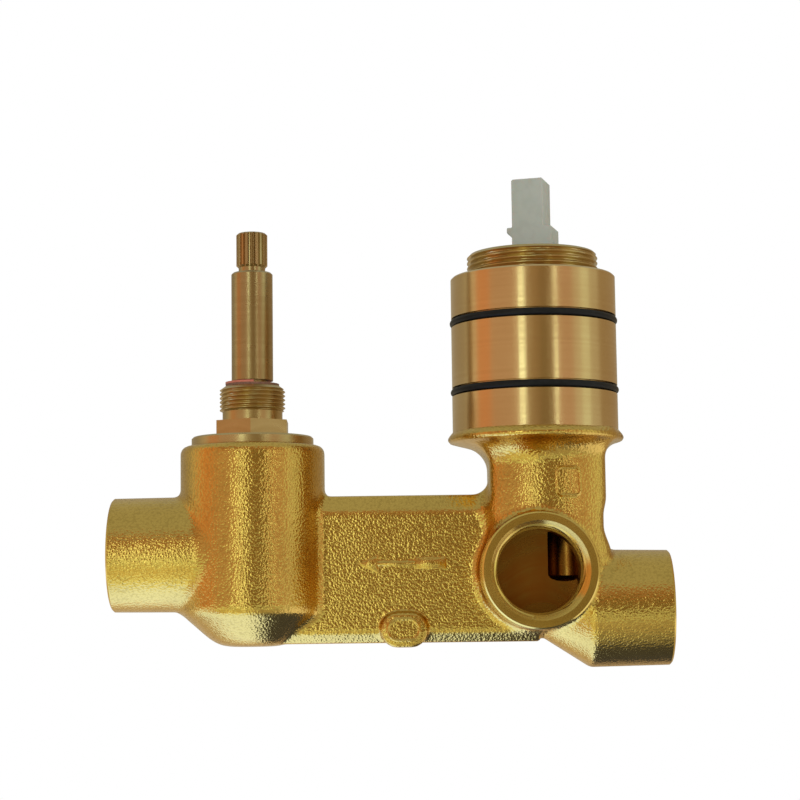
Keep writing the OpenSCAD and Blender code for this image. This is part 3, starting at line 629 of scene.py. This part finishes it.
# Threads: the cutter of each is a ring with grooves on one side and a plain back
thread = {
    "port": {"pitch": 1.814, "depth": 0.95, "radius": 12.06, "back": 11.0, "bottom": -9.3, "top": -0.9},
    "nut": {"pitch": 1.5, "depth": 0.8, "radius": 18.86, "back": 20.0, "bottom": 84.9, "top": 92.2},
    "headwork": {"pitch": 1.17, "depth": 0.62, "radius": 9.41, "back": 10.6, "bottom": 46.6, "top": 54.0},
    "around": 128, "alongPitch": 9, "flank": 1.35, "crest": 0.2, "weld": 0.000001,
}


def threadTree():
    tree, enter, leave = newTree("threadRing", "GeometryNodeTree", [
        ("Radius", "NodeSocketFloat", 12.0), ("Depth", "NodeSocketFloat", 0.6),
        ("Back", "NodeSocketFloat", 11.0), ("Pitch", "NodeSocketFloat", 1.5),
        ("Bottom", "NodeSocketFloat", 0.0), ("Top", "NodeSocketFloat", 6.0),
        ("Around", "NodeSocketInt", 96), ("Along", "NodeSocketInt", 40),
        ("Skin", "NodeSocketMaterial", None),
    ], [("Geometry", "NodeSocketGeometry")])
    terms = [Term(tree, enter.outputs[i]) for i in range(8)]
    radius, depth, back, pitch, bottom, top, around, along = terms
    grid = addNode(tree, "GeometryNodeMeshGrid", {"Size X": 1.0, "Size Y": 1.0},
                   {"Vertices X": around + 1.0, "Vertices Y": along + 3.0})
    split = addNode(tree, "ShaderNodeSeparateXYZ", {},
                    {"Vector": addNode(tree, "GeometryNodeInputPosition").outputs[0]})
    angle = (Term(tree, split.outputs[0]) + 0.5) * (2 * math.pi)
    # The last two rows across the grid are the plain back
    row = ((Term(tree, split.outputs[1]) + 0.5) * (along + 2.0)).calc("ROUND")
    row = row.calc("FLOORED_MODULO", along + 2.0)
    onThread = row.calc("LESS_THAN", along - 0.5)
    backTop = row.calc("LESS_THAN", along + 0.5)
    share = (row / (along - 1.0)).least(1.0)
    share = onThread * share + (1.0 - onThread) * backTop
    height = bottom + (top - bottom) * share
    turn = (height / pitch - angle / (2 * math.pi)).calc("FRACT")
    groove = abs(turn * 2.0 - 1.0) * thread["flank"] - thread["crest"]
    groove = groove.most(0.0).least(1.0)
    rim = onThread * (radius + depth * groove) + (1.0 - onThread) * back
    spot = addNode(tree, "ShaderNodeCombineXYZ", {}, {
        "X": rim * angle.calc("COSINE") * mm, "Y": rim * angle.calc("SINE") * mm, "Z": height * mm,
    })
    bend = addNode(tree, "GeometryNodeSetPosition", {},
                   {"Geometry": grid.outputs[0], "Position": spot.outputs[0]})
    weld = addNode(tree, "GeometryNodeMergeByDistance", {"Distance": thread["weld"]},
                   {"Geometry": bend.outputs[0]})
    painted = addNode(tree, "GeometryNodeSetMaterial", {},
                      {"Geometry": weld.outputs[0], "Material": enter.outputs["Skin"]})
    tree.links.new(painted.outputs[0], leave.inputs[0])
    return tree


ringTree = threadTree()


def threadCutter(name, key, sign, spot, material):
    sizes = thread[key]
    made = grow(name, ringTree, {
        "Radius": sizes["radius"], "Depth": sign * sizes["depth"], "Back": sizes["back"],
        "Pitch": sizes["pitch"], "Bottom": sizes["bottom"], "Top": sizes["top"],
        "Around": thread["around"],
        "Along": round((sizes["top"] - sizes["bottom"]) / sizes["pitch"] * thread["alongPitch"]),
        "Skin": material,
    })
    made.data.transform(spot)
    shape = bmesh.new()
    shape.from_mesh(made.data)
    bmesh.ops.recalc_face_normals(shape, faces=shape.faces)
    shape.to_mesh(made.data)
    shape.free()
    paint(made.data, material)
    return made


print("stage: raised marks")

# Raised marks: a plain flow arrow on the web, a pad rim on the oval boss and a bare frame on the neck
markRoot = -0.6   # how deep each mark starts under the face it stands on
arrow = {
    "tip": -49.6, "neck": -44.5, "step": -34.0, "tail": -25.4, "z": 2.8, "head": 2.4, "shaft": 0.65,
    "block": 1.6, "overlap": 0.5, "proud": 0.5, "slope": 0.8,
}
padRim = {"x": -37.4, "width": 9.6, "height": 6.6, "rim": 0.65, "proud": 0.5, "slope": 0.6}
neckFrame = {
    "x": 5.4, "y": -16.4, "z": 24.8, "turn": 12, "width": 7.2, "height": 8.4, "corner": 1.8, "rim": 0.6,
    "proud": 0.4, "slope": 0.6,
}


def frameOutline(width, height, corner, count=4):
    points = []
    for cx, cy, start in ((1, 1, 0), (-1, 1, 90), (-1, -1, 180), (1, -1, 270)):
        for i in range(count + 1):
            a = math.radians(start + 90 * i / count)
            points.append((cx * (width / 2 - corner) + corner * math.cos(a),
                           cy * (height / 2 - corner) + corner * math.sin(a)))
    return points


def ovalOutline(width, height, count=12):
    points = []
    for side, start in ((1, -90), (-1, 90)):
        for i in range(count + 1):
            a = math.radians(start + 180 * i / count)
            points.append((side * (width - height) / 2 + height / 2 * math.cos(a),
                           height / 2 * math.sin(a)))
    return points


def barOutline(left, right, half):
    return [(left, -half), (right, -half), (right, half), (left, half)]


# The place of a mark that looks to the front, turned about the upright axis
def frontSpot(x, y, z, turn=0.0):
    spot = Matrix.Translation((x * mm, y * mm, z * mm)) @ Matrix.Rotation(math.radians(turn), 4, "Z")
    return spot @ Matrix.Rotation(math.radians(90), 4, "X")


def arrowMark(name, outline):
    spot = frontSpot(0, -casting["webHalf"], arrow["z"])
    return mark(name, outline, None, spot, markRoot, arrow["proud"], arrow["slope"], castBrass)


def padMark():
    width, height, rim = padRim["width"], padRim["height"], padRim["rim"]
    return mark("padRim", ovalOutline(width, height), ovalOutline(width - 2 * rim, height - 2 * rim),
                frontSpot(padRim["x"], -ovalSizes["front"], ovalSizes["z"]), markRoot, padRim["proud"],
                padRim["slope"], castBrass)


def frameMark():
    width, height, corner = neckFrame["width"], neckFrame["height"], neckFrame["corner"]
    rim = neckFrame["rim"]
    spot = frontSpot(cartridgeX + neckSizes["shift"] + neckFrame["x"], neckFrame["y"], neckFrame["z"],
                     neckFrame["turn"])
    return mark("bareFrame", frameOutline(width, height, corner),
                frameOutline(width - 2 * rim, height - 2 * rim, corner - rim), spot, markRoot,
                neckFrame["proud"], neckFrame["slope"], castBrass)


arrowHead = [(arrow["tip"], 0), (arrow["neck"], -arrow["head"]), (arrow["neck"], arrow["head"])]
arrowShaft = barOutline(arrow["neck"] - arrow["overlap"], arrow["step"] + arrow["overlap"], arrow["shaft"])
arrowTail = barOutline(arrow["step"], arrow["tail"], arrow["block"])
raised = [
    frameMark(), padMark(), arrowMark("arrowTail", arrowTail), arrowMark("arrowShaft", arrowShaft),
    arrowMark("arrowHead", arrowHead),
]

print("stage: machining of the casting")
cartridgeAxis = axisSpot((cartridgeX, 0, 0), (0, 0, 1))
diverterAxis = axisSpot((diverterX, 0, 0), (0, 0, 1))

# A threaded port, from its face inward
port = {
    "mouth": 13.5, "bevel": 1.44, "thread": 12.06, "threadDepth": 9.5, "bore": 11.5, "slack": 0.01,
    "drop": 2, "width": 6, "clear": 4, "steps": 96,
}
ports = {
    "front": {"spot": axisSpot((0, -place["inletEnd"], 0), (0, -1, 0)), "depth": 23.0, "face": 15.4,
              "material": inletBrass},
    "rear": {"spot": axisSpot((0, place["inletEnd"], 0), (0, 1, 0)), "depth": 23.0, "face": 15.4,
             "material": inletBrass},
    "left": {"spot": axisSpot((place["leftEnd"], 0, place["leftZ"]), (-1, 0, 0)), "depth": 23.4,
             "face": 15.7, "material": leftBrass},
    "right": {"spot": axisSpot((place["rightEnd"], 0, place["rightZ"]), (1, 0, 0)), "depth": 21.0,
              "face": 15.7, "material": rightBrass},
}


# The faces deeper than the thread take the darker bore material, which paints shade into the port
def portCutter(name, spot, depth, face, material):
    drop, width, clear = port["drop"], port["width"], port["clear"]
    return lathe(name, [
        (0, -depth), (port["bore"], -depth), (port["bore"], -port["threadDepth"]),
        (port["thread"], -port["threadDepth"]), (port["thread"], -port["bevel"]), (port["mouth"], 0),
        (face, 0), (face + drop, -drop), (face + width, -drop), (face + width, clear), (0, clear),
    ], spot, material, port["steps"], shadedBoreBrass, -port["threadDepth"] - port["slack"])


# The machined cylinder and its two ring grooves
cylinder = {
    "radius": 23.7, "bottom": 38.7, "top": 84.8, "bevel": 0.5, "grooves": (51.7, 71.7),
    "grooveRadius": 22.08, "grooveHalf": 1.3, "clearRadius": 25, "steps": 192,
}


def cylinderBlank():
    radius, bottom, top, bevel = [cylinder[key] for key in ("radius", "bottom", "top", "bevel")]
    return lathe("cylinder", [
        (0, bottom), (radius, bottom), (radius, top - bevel), (radius - bevel, top), (0, top),
    ], cartridgeAxis, cylinderBrass, cylinder["steps"])


def grooveCutter(level):
    inner, outer, half = cylinder["grooveRadius"], cylinder["clearRadius"], cylinder["grooveHalf"]
    return lathe(f"groove{level:.0f}", [
        (inner, level - half), (outer, level - half), (outer, level + half), (inner, level + half),
    ], cartridgeAxis, cylinderBrass, cylinder["steps"])


# The wells inside the cylinder and the tower: stages of a radius, from one height up to another
wells = {
    "cartridgeWell": {"stages": ((17.53, 43.5, 75.98), (18.35, 75.98, 84.4), (19.0, 85.05, 87)),
                      "spot": cartridgeAxis, "material": cylinderBrass, "steps": 128},
    "diverterWell": {"stages": ((12.63, -3, 1.5), (15, 1.5, 30), (14.13, 30, 35.37), (15.83, 35.37, 40)),
                     "spot": diverterAxis, "material": wellBrass, "steps": 96},
}


def wellCutter(name, stages, spot, material, steps):
    wall = [(radius, level) for radius, low, high in stages for level in (low, high)]
    return lathe(name, [(0, wall[0][1])] + wall + [(0, wall[-1][1])], spot, material, steps)


# Channels along X, drillings up to the cartridge, and the holes under the diverter's disc
drilling = {
    "channelRadius": 5.5, "lowerStart": 2.2, "lowerEnd": 18,
    "mixedX": -8.9, "mixedRadius": 4.8, "mixedLength": 38.2,
    "feedX": 6.95, "feedY": 8, "feedZ": -1, "feedRadius": 4.7, "feedLength": 45.5, "feedTip": 1.8,
    "holeRing": 6.5, "holeTurn": 225, "holeRadius": 3.4, "holeLength": 12.8, "leftHoleZ": -9,
    "slantX": 1.83, "slantZ": -8.81, "slantLean": 24, "slantRadius": 3.9, "slantLength": 22,
    "tipPoints": ((0.0, 1.0), (0.5, 0.85), (0.85, 0.5)), "steps": 48,
}


def bar(name, start, direction, radius, length, material, tip=0.0):
    tipRings = [(radius * out, -tip * up) for out, up in drilling["tipPoints"]]
    profile = (tipRings if tip else [(0, 0)]) + [(radius, 0), (radius, length), (0, length)]
    return lathe(name, profile, axisSpot(start, direction), material, drilling["steps"])


def waterCutters():
    toRight, upward, slant = (1, 0, 0), (0, 0, 1), math.radians(drilling["slantLean"])
    mixedX, lowerX = cartridgeX + drilling["mixedX"], diverterX + drilling["lowerStart"]
    channel = drilling["channelRadius"]
    feedX, feedY, feedZ = cartridgeX + drilling["feedX"], drilling["feedY"], drilling["feedZ"]
    # The feed drillings take the darker bore material as painted shade
    feed = drilling["feedRadius"], drilling["feedLength"], shadedBoreBrass, drilling["feedTip"]
    hole = drilling["holeRing"] * math.cos(math.radians(drilling["holeTurn"]))
    outlet = drilling["holeRadius"], drilling["holeLength"], wellBrass
    return [
        bar("upperChannel", (diverterX, 0, place["leftZ"]), toRight, channel,
            mixedX - diverterX, leftBrass),
        bar("lowerChannel", (lowerX, 0, place["rightZ"]), toRight, channel,
            drilling["lowerEnd"] - lowerX, rightBrass),
        bar("mixedDrilling", (mixedX, 0, place["leftZ"]), upward, drilling["mixedRadius"],
            drilling["mixedLength"], wellBrass),
        bar("frontDrilling", (feedX, -feedY, feedZ), upward, *feed),
        bar("rearDrilling", (feedX, feedY, feedZ), upward, *feed),
        bar("leftHole", (diverterX + hole, hole, drilling["leftHoleZ"]), upward, *outlet),
        bar("rightHole", (diverterX - hole, hole, place["rightZ"]), upward, *outlet),
        bar("slantDrilling", (diverterX + hole + drilling["slantX"], hole, drilling["slantZ"]),
            (-math.cos(slant), 0, math.sin(slant)), drilling["slantRadius"], drilling["slantLength"],
            wellBrass),
    ]


cuts = [portCutter(f"{key}Port", **each) for key, each in ports.items()]
cuts += [wellCutter(name, **each) for name, each in wells.items()] + waterCutters()
cuts += [grooveCutter(level) for level in cylinder["grooves"]]
cuts += [threadCutter(f"{key}Thread", "port", 1.0, each["spot"], each["material"])
         for key, each in ports.items()]
carve(castBody, [("UNION", each) for each in [cylinderBlank()] + raised]
      + [("DIFFERENCE", each) for each in cuts])
smoothSkin(castBody, casting["castLimit"], casting["machinedLimit"], castSlots=(0,))
print("casting faces", len(castBody.data.polygons), [m.name for m in castBody.data.materials])
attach(castBody, "valve")
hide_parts("valve_body")

# Pieces copied from the CAD, with threads or rounded edges added
copies = {"weld": 0.000002, "sharpAngle": 25}


def copyNode(name, made):
    copied = newObject(made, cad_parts[name].data.copy())
    shape = bmesh.new()
    shape.from_mesh(copied.data)
    bmesh.ops.remove_doubles(shape, verts=shape.verts, dist=copies["weld"])
    shape.to_mesh(copied.data)
    shape.free()
    return copied


def finishCopy(thing, node, body, material):
    thing.data.materials.clear()
    thing.data.materials.append(material)
    for face in thing.data.polygons:
        face.material_index = 0
    smoothSkin(thing, copies["sharpAngle"], copies["sharpAngle"])
    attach(thing, body)
    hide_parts(node)


print("stage: threaded pieces")
ringNut = copyNode("cartridge_nut", "ringNut")
nutCutter = threadCutter("nutThread", "nut", -1.0, cartridgeAxis, nutBrass)
carve(ringNut, [("DIFFERENCE", nutCutter)])
finishCopy(ringNut, "cartridge_nut", "valve", nutBrass)
headwork = copyNode("headwork_body", "headwork")
headworkCutter = threadCutter("headworkThread", "headwork", -1.0, diverterAxis, headworkBrass)
carve(headwork, [("DIFFERENCE", headworkCutter)])
finishCopy(headwork, "headwork_body", "valve", headworkBrass)
print("nut faces", len(ringNut.data.polygons), "headwork faces", len(headwork.data.polygons))

print("stage: lever")
leverLook = {"base": (0.34, 0.36, 0.315), "deep": (0.31, 0.33, 0.285), "grain": 500.0, "bump": 0.01,
             "roughness": 0.42, "roughnessSpan": 0.1, "metallic": 0.0, "subsurface": 0.25,
             "subsurfaceScale": 0.002}
leverEdges = {"angle": 50, "above": 0.0955, "radius": 0.00035, "segments": 3, "flat": 1}
leverNylon = metalMaterial("leverNylon", leverLook)
lever = copyNode("lever_stem", "lever")
shape = bmesh.new()
shape.from_mesh(lever.data)
bmesh.ops.dissolve_limit(shape, angle_limit=math.radians(leverEdges["flat"]), verts=shape.verts,
                         edges=shape.edges)
sharp = [e for e in shape.edges if len(e.link_faces) == 2
         and e.calc_face_angle(0.0) > math.radians(leverEdges["angle"])
         and min(v.co.z for v in e.verts) > leverEdges["above"]]
bmesh.ops.bevel(shape, geom=sharp, offset=leverEdges["radius"], segments=leverEdges["segments"],
                profile=0.5, affect="EDGES", clamp_overlap=True)
shape.to_mesh(lever.data)
shape.free()
finishCopy(lever, "lever_stem", "lever", leverNylon)

print("stage: materials of the pieces that keep their CAD mesh")
plainLooks = {
    "rubber": {"base": (0.007, 0.007, 0.007), "deep": (0.011, 0.011, 0.011), "grain": 900.0, "bump": 0.01,
               "roughness": 0.38, "roughnessSpan": 0.12, "metallic": 0.0, "specular": 0.14},
    "white_acetal": {"base": (0.80, 0.80, 0.76), "deep": (0.74, 0.74, 0.70), "grain": 600.0, "bump": 0.01,
                     "roughness": 0.38, "roughnessSpan": 0.1, "metallic": 0.0},
    "ceramic": {"base": (0.84, 0.82, 0.76), "deep": (0.78, 0.76, 0.70), "grain": 1500.0, "bump": 0.004,
                "roughness": 0.15, "roughnessSpan": 0.08, "metallic": 0.0},
    "steel": {"base": (0.62, 0.62, 0.63), "deep": (0.52, 0.52, 0.54), "grain": 1500.0, "bump": 0.006,
              "roughness": 0.22, "roughnessSpan": 0.1},
    "red_fibre": {"base": (0.17, 0.070, 0.035), "deep": (0.12, 0.050, 0.025), "grain": 1400.0, "bump": 0.05,
                  "roughness": 0.55, "roughnessSpan": 0.15, "metallic": 0.0},
    "red_clip": {"base": (0.46, 0.13, 0.08), "deep": (0.38, 0.09, 0.05), "grain": 900.0, "bump": 0.01,
                 "roughness": 0.3, "roughnessSpan": 0.1, "metallic": 0.0},
}
slotMaterials = {name: metalMaterial(name, look) for name, look in plainLooks.items()}
slotMaterials["bar_brass"] = barBrass
slotNodes = {
    "rubber": ("cylinder_o_ring_lower", "cylinder_o_ring_upper", "cartridge_base_seal", "headwork_o_ring",
               "spindle_o_ring_lower", "spindle_o_ring_upper", "diverter_seat_seal"),
    "white_acetal": ("cartridge_housing", "cartridge_base", "disc_carrier", "lever_swivel"),
    "ceramic": ("cartridge_fixed_disc", "cartridge_moving_disc", "diverter_moving_disc",
                "diverter_fixed_disc"),
    "steel": ("lever_pin",), "bar_brass": ("diverter_spindle",),
    "red_fibre": ("spindle_washer",), "red_clip": ("spindle_clip",),
}
for slot, names in slotNodes.items():
    for name in names:
        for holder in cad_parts[name].material_slots:
            holder.material = slotMaterials[slot]

print("stage: light")


def glow(name, colour, strength):
    material = bpy.data.materials.new(name)
    material.use_nodes = True
    tree = material.node_tree
    tree.nodes.clear()
    light = addNode(tree, "ShaderNodeEmission", {"Color": (*colour, 1.0), "Strength": strength})
    end = addNode(tree, "ShaderNodeOutputMaterial")
    tree.links.new(light.outputs[0], end.inputs["Surface"])
    return material


# What is only seen in reflections, so that it leaves the level of the light alone
def reflected(made):
    made.visible_camera = False
    made.visible_diffuse = False
    made.visible_shadow = False
    return made


# The light tent's cards: bearings from the front to the right and heights above level, in degrees, the
# colour, and where they differ from card's own the strength and the distance in metres
tentCentre = {"x": -0.03, "z": 0.03}
cardStep = {"bearing": 4, "height": 8}   # degrees that one face of a card spans
wall, near, table, coolWhite = (-10, 34), (-24, -10), (-50, -10), (0.82, 1.0, 0.84)
tent = {
    "wallLeft": ((-64, -12), wall, (0.60, 0.42, 0.29), 1.0, 1.3),
    "wallMiddleLeft": ((-12, 6), wall, (0.36, 0.26, 0.14), 1.0, 1.3),
    "wallMiddleRight": ((6, 24), wall, (0.26, 0.19, 0.09), 1.0, 1.3),
    "wallRight": ((24, 54), wall, (0.60, 0.42, 0.30), 1.0, 1.3),
    "stripLeft": ((-20.5, -14), (-24, 20), coolWhite, 2.5),
    "stripRight": ((27, 30), (-24, 20), coolWhite, 2.4),
    "upperWall": ((-64, 54), (18, 38), (0.44, 0.25, 0.14), 1.0, 1.25),
    "softRight": ((54, 66), wall, (0.66, 0.60, 0.45)),
    "brightRight": ((66, 80), wall, (0.82, 0.90, 0.70)),
    "fadeRight": ((80, 98), wall, (0.58, 0.54, 0.40)),
    "orangeLeft": ((-88, -64), wall, (0.74, 0.37, 0.19)),
    "softLeft": ((-102, -88), wall, (0.72, 0.62, 0.44)),
    "fadeLeft": ((-116, -102), wall, (0.50, 0.47, 0.35)),
    "backLeft": ((-156, -116), wall, (0.40, 0.36, 0.27)),
    "backRight": ((98, 156), wall, (0.40, 0.31, 0.19)),
    "back": ((156, 204), wall, (0.44, 0.40, 0.30)),
    "ceiling": ((-180, 180), (34, 88), (0.48, 0.51, 0.46)),
    "nearLeft": ((-60, -1), near, (0.84, 1.0, 0.72), 1.05),
    "middleLeft": ((-60, -1), (-44, -24), (1.0, 0.96, 0.56), 0.85),
    "farLeft": ((-56, -1), (-66, -44), (0.80, 0.94, 0.74), 1.4),
    "orangeBelow": ((-124, -56), (-70, -24), (0.62, 0.40, 0.20), 1.0, 1.25),
    "nearRight": ((-1, 60), near, (0.84, 0.96, 0.76), 0.8),
    "middleRight": ((-1, 60), (-50, -24), (0.90, 0.84, 0.62), 0.55),
    "farRight": ((-1, 60), (-76, -50), (0.84, 0.86, 0.72), 0.36),
    "viewer": ((1.5, 7.5), (-6, 4), (0.13, 0.09, 0.035), 1.0, 1.1),
    "backTableRight": ((110, 180), table, (0.50, 0.40, 0.26)),
    "backTableLeft": ((180, 250), table, (0.66, 0.58, 0.44)),
}


def card(name, bearing, height, colour, strength=1.0, distance=1.2):
    (fromSide, toSide), (low, high) = bearing, height
    across = max(2, round((toSide - fromSide) / cardStep["bearing"]))
    up = max(2, round((high - low) / cardStep["height"]))
    points, faces = [], []
    for j in range(up + 1):
        for i in range(across + 1):
            a = math.radians(fromSide + (toSide - fromSide) * i / across)
            e = math.radians(low + (high - low) * j / up)
            points.append((distance * math.sin(a) * math.cos(e) + tentCentre["x"],
                           -distance * math.cos(a) * math.cos(e), distance * math.sin(e) + tentCentre["z"]))
    for j in range(up):
        for i in range(across):
            k = j * (across + 1) + i
            faces.append((k, k + 1, k + across + 2, k + across + 1))
    mesh = bpy.data.meshes.new(name)
    mesh.from_pydata(points, [], faces)
    mesh.materials.append(glow(name, colour, strength))
    return reflected(newObject(name, mesh))


# Level boards under the valve, seen by what faces down
boards = {
    "brightBelow": {"low": (-1.6, -0.2), "high": (-0.03, 0.25), "level": -0.45,
                    "colour": (0.44, 0.60, 1.0), "strength": 2.7},
    "darkBelow": {"low": (-0.03, -0.12), "high": (0.33, 0.5), "level": -0.45,
                  "colour": (0.08, 0.09, 0.13), "strength": 1.0},
}


def levelMesh(name, low, high, level):
    mesh = bpy.data.meshes.new(name)
    mesh.from_pydata([(low[0], low[1], level), (high[0], low[1], level), (high[0], high[1], level),
                      (low[0], high[1], level)], [], [(0, 1, 2, 3)])
    return mesh


def board(name, low, high, level, colour, strength):
    mesh = levelMesh(name, low, high, level)
    mesh.materials.append(glow(name, colour, strength))
    return reflected(newObject(name, mesh))


cards = [card(name, *look) for name, look in tent.items()]
cards += [board(name, **look) for name, look in boards.items()]

floorSizes = {"low": (-0.8, -0.7), "high": (0.74, 0.7), "level": -0.17}
floorPaint = {"Base Color": (0.82, 0.82, 0.80, 1.0), "Roughness": 0.8}
floorMesh = levelMesh("floor", **floorSizes)
floorLook = bpy.data.materials.new("floorPaint")
floorLook.use_nodes = True
for key, value in floorPaint.items():
    floorLook.node_tree.nodes["Principled BSDF"].inputs[key].default_value = value
floorMesh.materials.append(floorLook)
floor = newObject("floor", floorMesh)
floor.visible_glossy = False

lampLook = {
    "size": 0.9, "energy": 4.5, "colour": (1.0, 0.985, 0.95), "position": (0.45, -0.85, 0.75),
    "away": (0.48, -0.85, 0.72),   # from what it lights towards the lamp
}
lampData = bpy.data.lights.new("softLamp", "AREA")
lampData.shape = "SQUARE"
lampData.size = lampLook["size"]
lampData.energy = lampLook["energy"]
lampData.color = lampLook["colour"]
lamp = newObject("softLamp", lampData)
lamp.matrix_world = (Matrix.Translation(lampLook["position"])
                     @ Vector(lampLook["away"]).to_track_quat("Z", "Y").to_matrix().to_4x4())
lamp.visible_glossy = False

# White where the camera and mirrors see it, a little softer as light
surround = {
    "seen": {"Color": (1.0, 1.0, 1.0, 1.0), "Strength": 1.0},
    "light": {"Color": (1.0, 0.99, 0.96, 1.0), "Strength": 0.9},
}
world = bpy.data.worlds.new("surround")
bpy.context.scene.world = world
world.use_nodes = True
tree = world.node_tree
tree.nodes.clear()
path = addNode(tree, "ShaderNodeLightPath")
seen = Term(tree, path.outputs["Is Camera Ray"]).most(Term(tree, path.outputs["Is Glossy Ray"]))
seen = seen.most(Term(tree, path.outputs["Is Transmission Ray"]))
white = addNode(tree, "ShaderNodeBackground", surround["seen"])
soft = addNode(tree, "ShaderNodeBackground", surround["light"])
blend = addNode(tree, "ShaderNodeMixShader", {}, {0: seen, 1: soft.outputs[0], 2: white.outputs[0]})
end = addNode(tree, "ShaderNodeOutputWorld", {}, {"Surface": blend.outputs[0]})

print("stage: camera")
view = {
    "position": (-0.0308, -0.5586, -0.01034), "yaw": 0.0124, "pitch": 0.1074, "roll": -0.0125,
    "lens": 87.895, "sensor": 36.0, "clip": (0.01, 10.0),
}
levelAhead = Vector((-math.sin(view["yaw"]), math.cos(view["yaw"]), 0))
levelRight = Vector((math.cos(view["yaw"]), math.sin(view["yaw"]), 0))
ahead = levelAhead * math.cos(view["pitch"]) + Vector((0, 0, 1)) * math.sin(view["pitch"])
levelUp = Vector((0, 0, 1)) * math.cos(view["pitch"]) - levelAhead * math.sin(view["pitch"])
right = levelRight * math.cos(view["roll"]) + levelUp * math.sin(view["roll"])
up = levelUp * math.cos(view["roll"]) - levelRight * math.sin(view["roll"])
cameraData = bpy.data.cameras.new("camera")
cameraData.lens = view["lens"]
cameraData.sensor_width = view["sensor"]
cameraData.clip_start, cameraData.clip_end = view["clip"]
camera = newObject("camera", cameraData)
camera.matrix_world = (Matrix.Translation(view["position"])
                       @ Matrix((right, up, -ahead)).transposed().to_4x4())
bpy.context.scene.camera = camera
bpy.context.scene.view_settings.view_transform = "Standard"
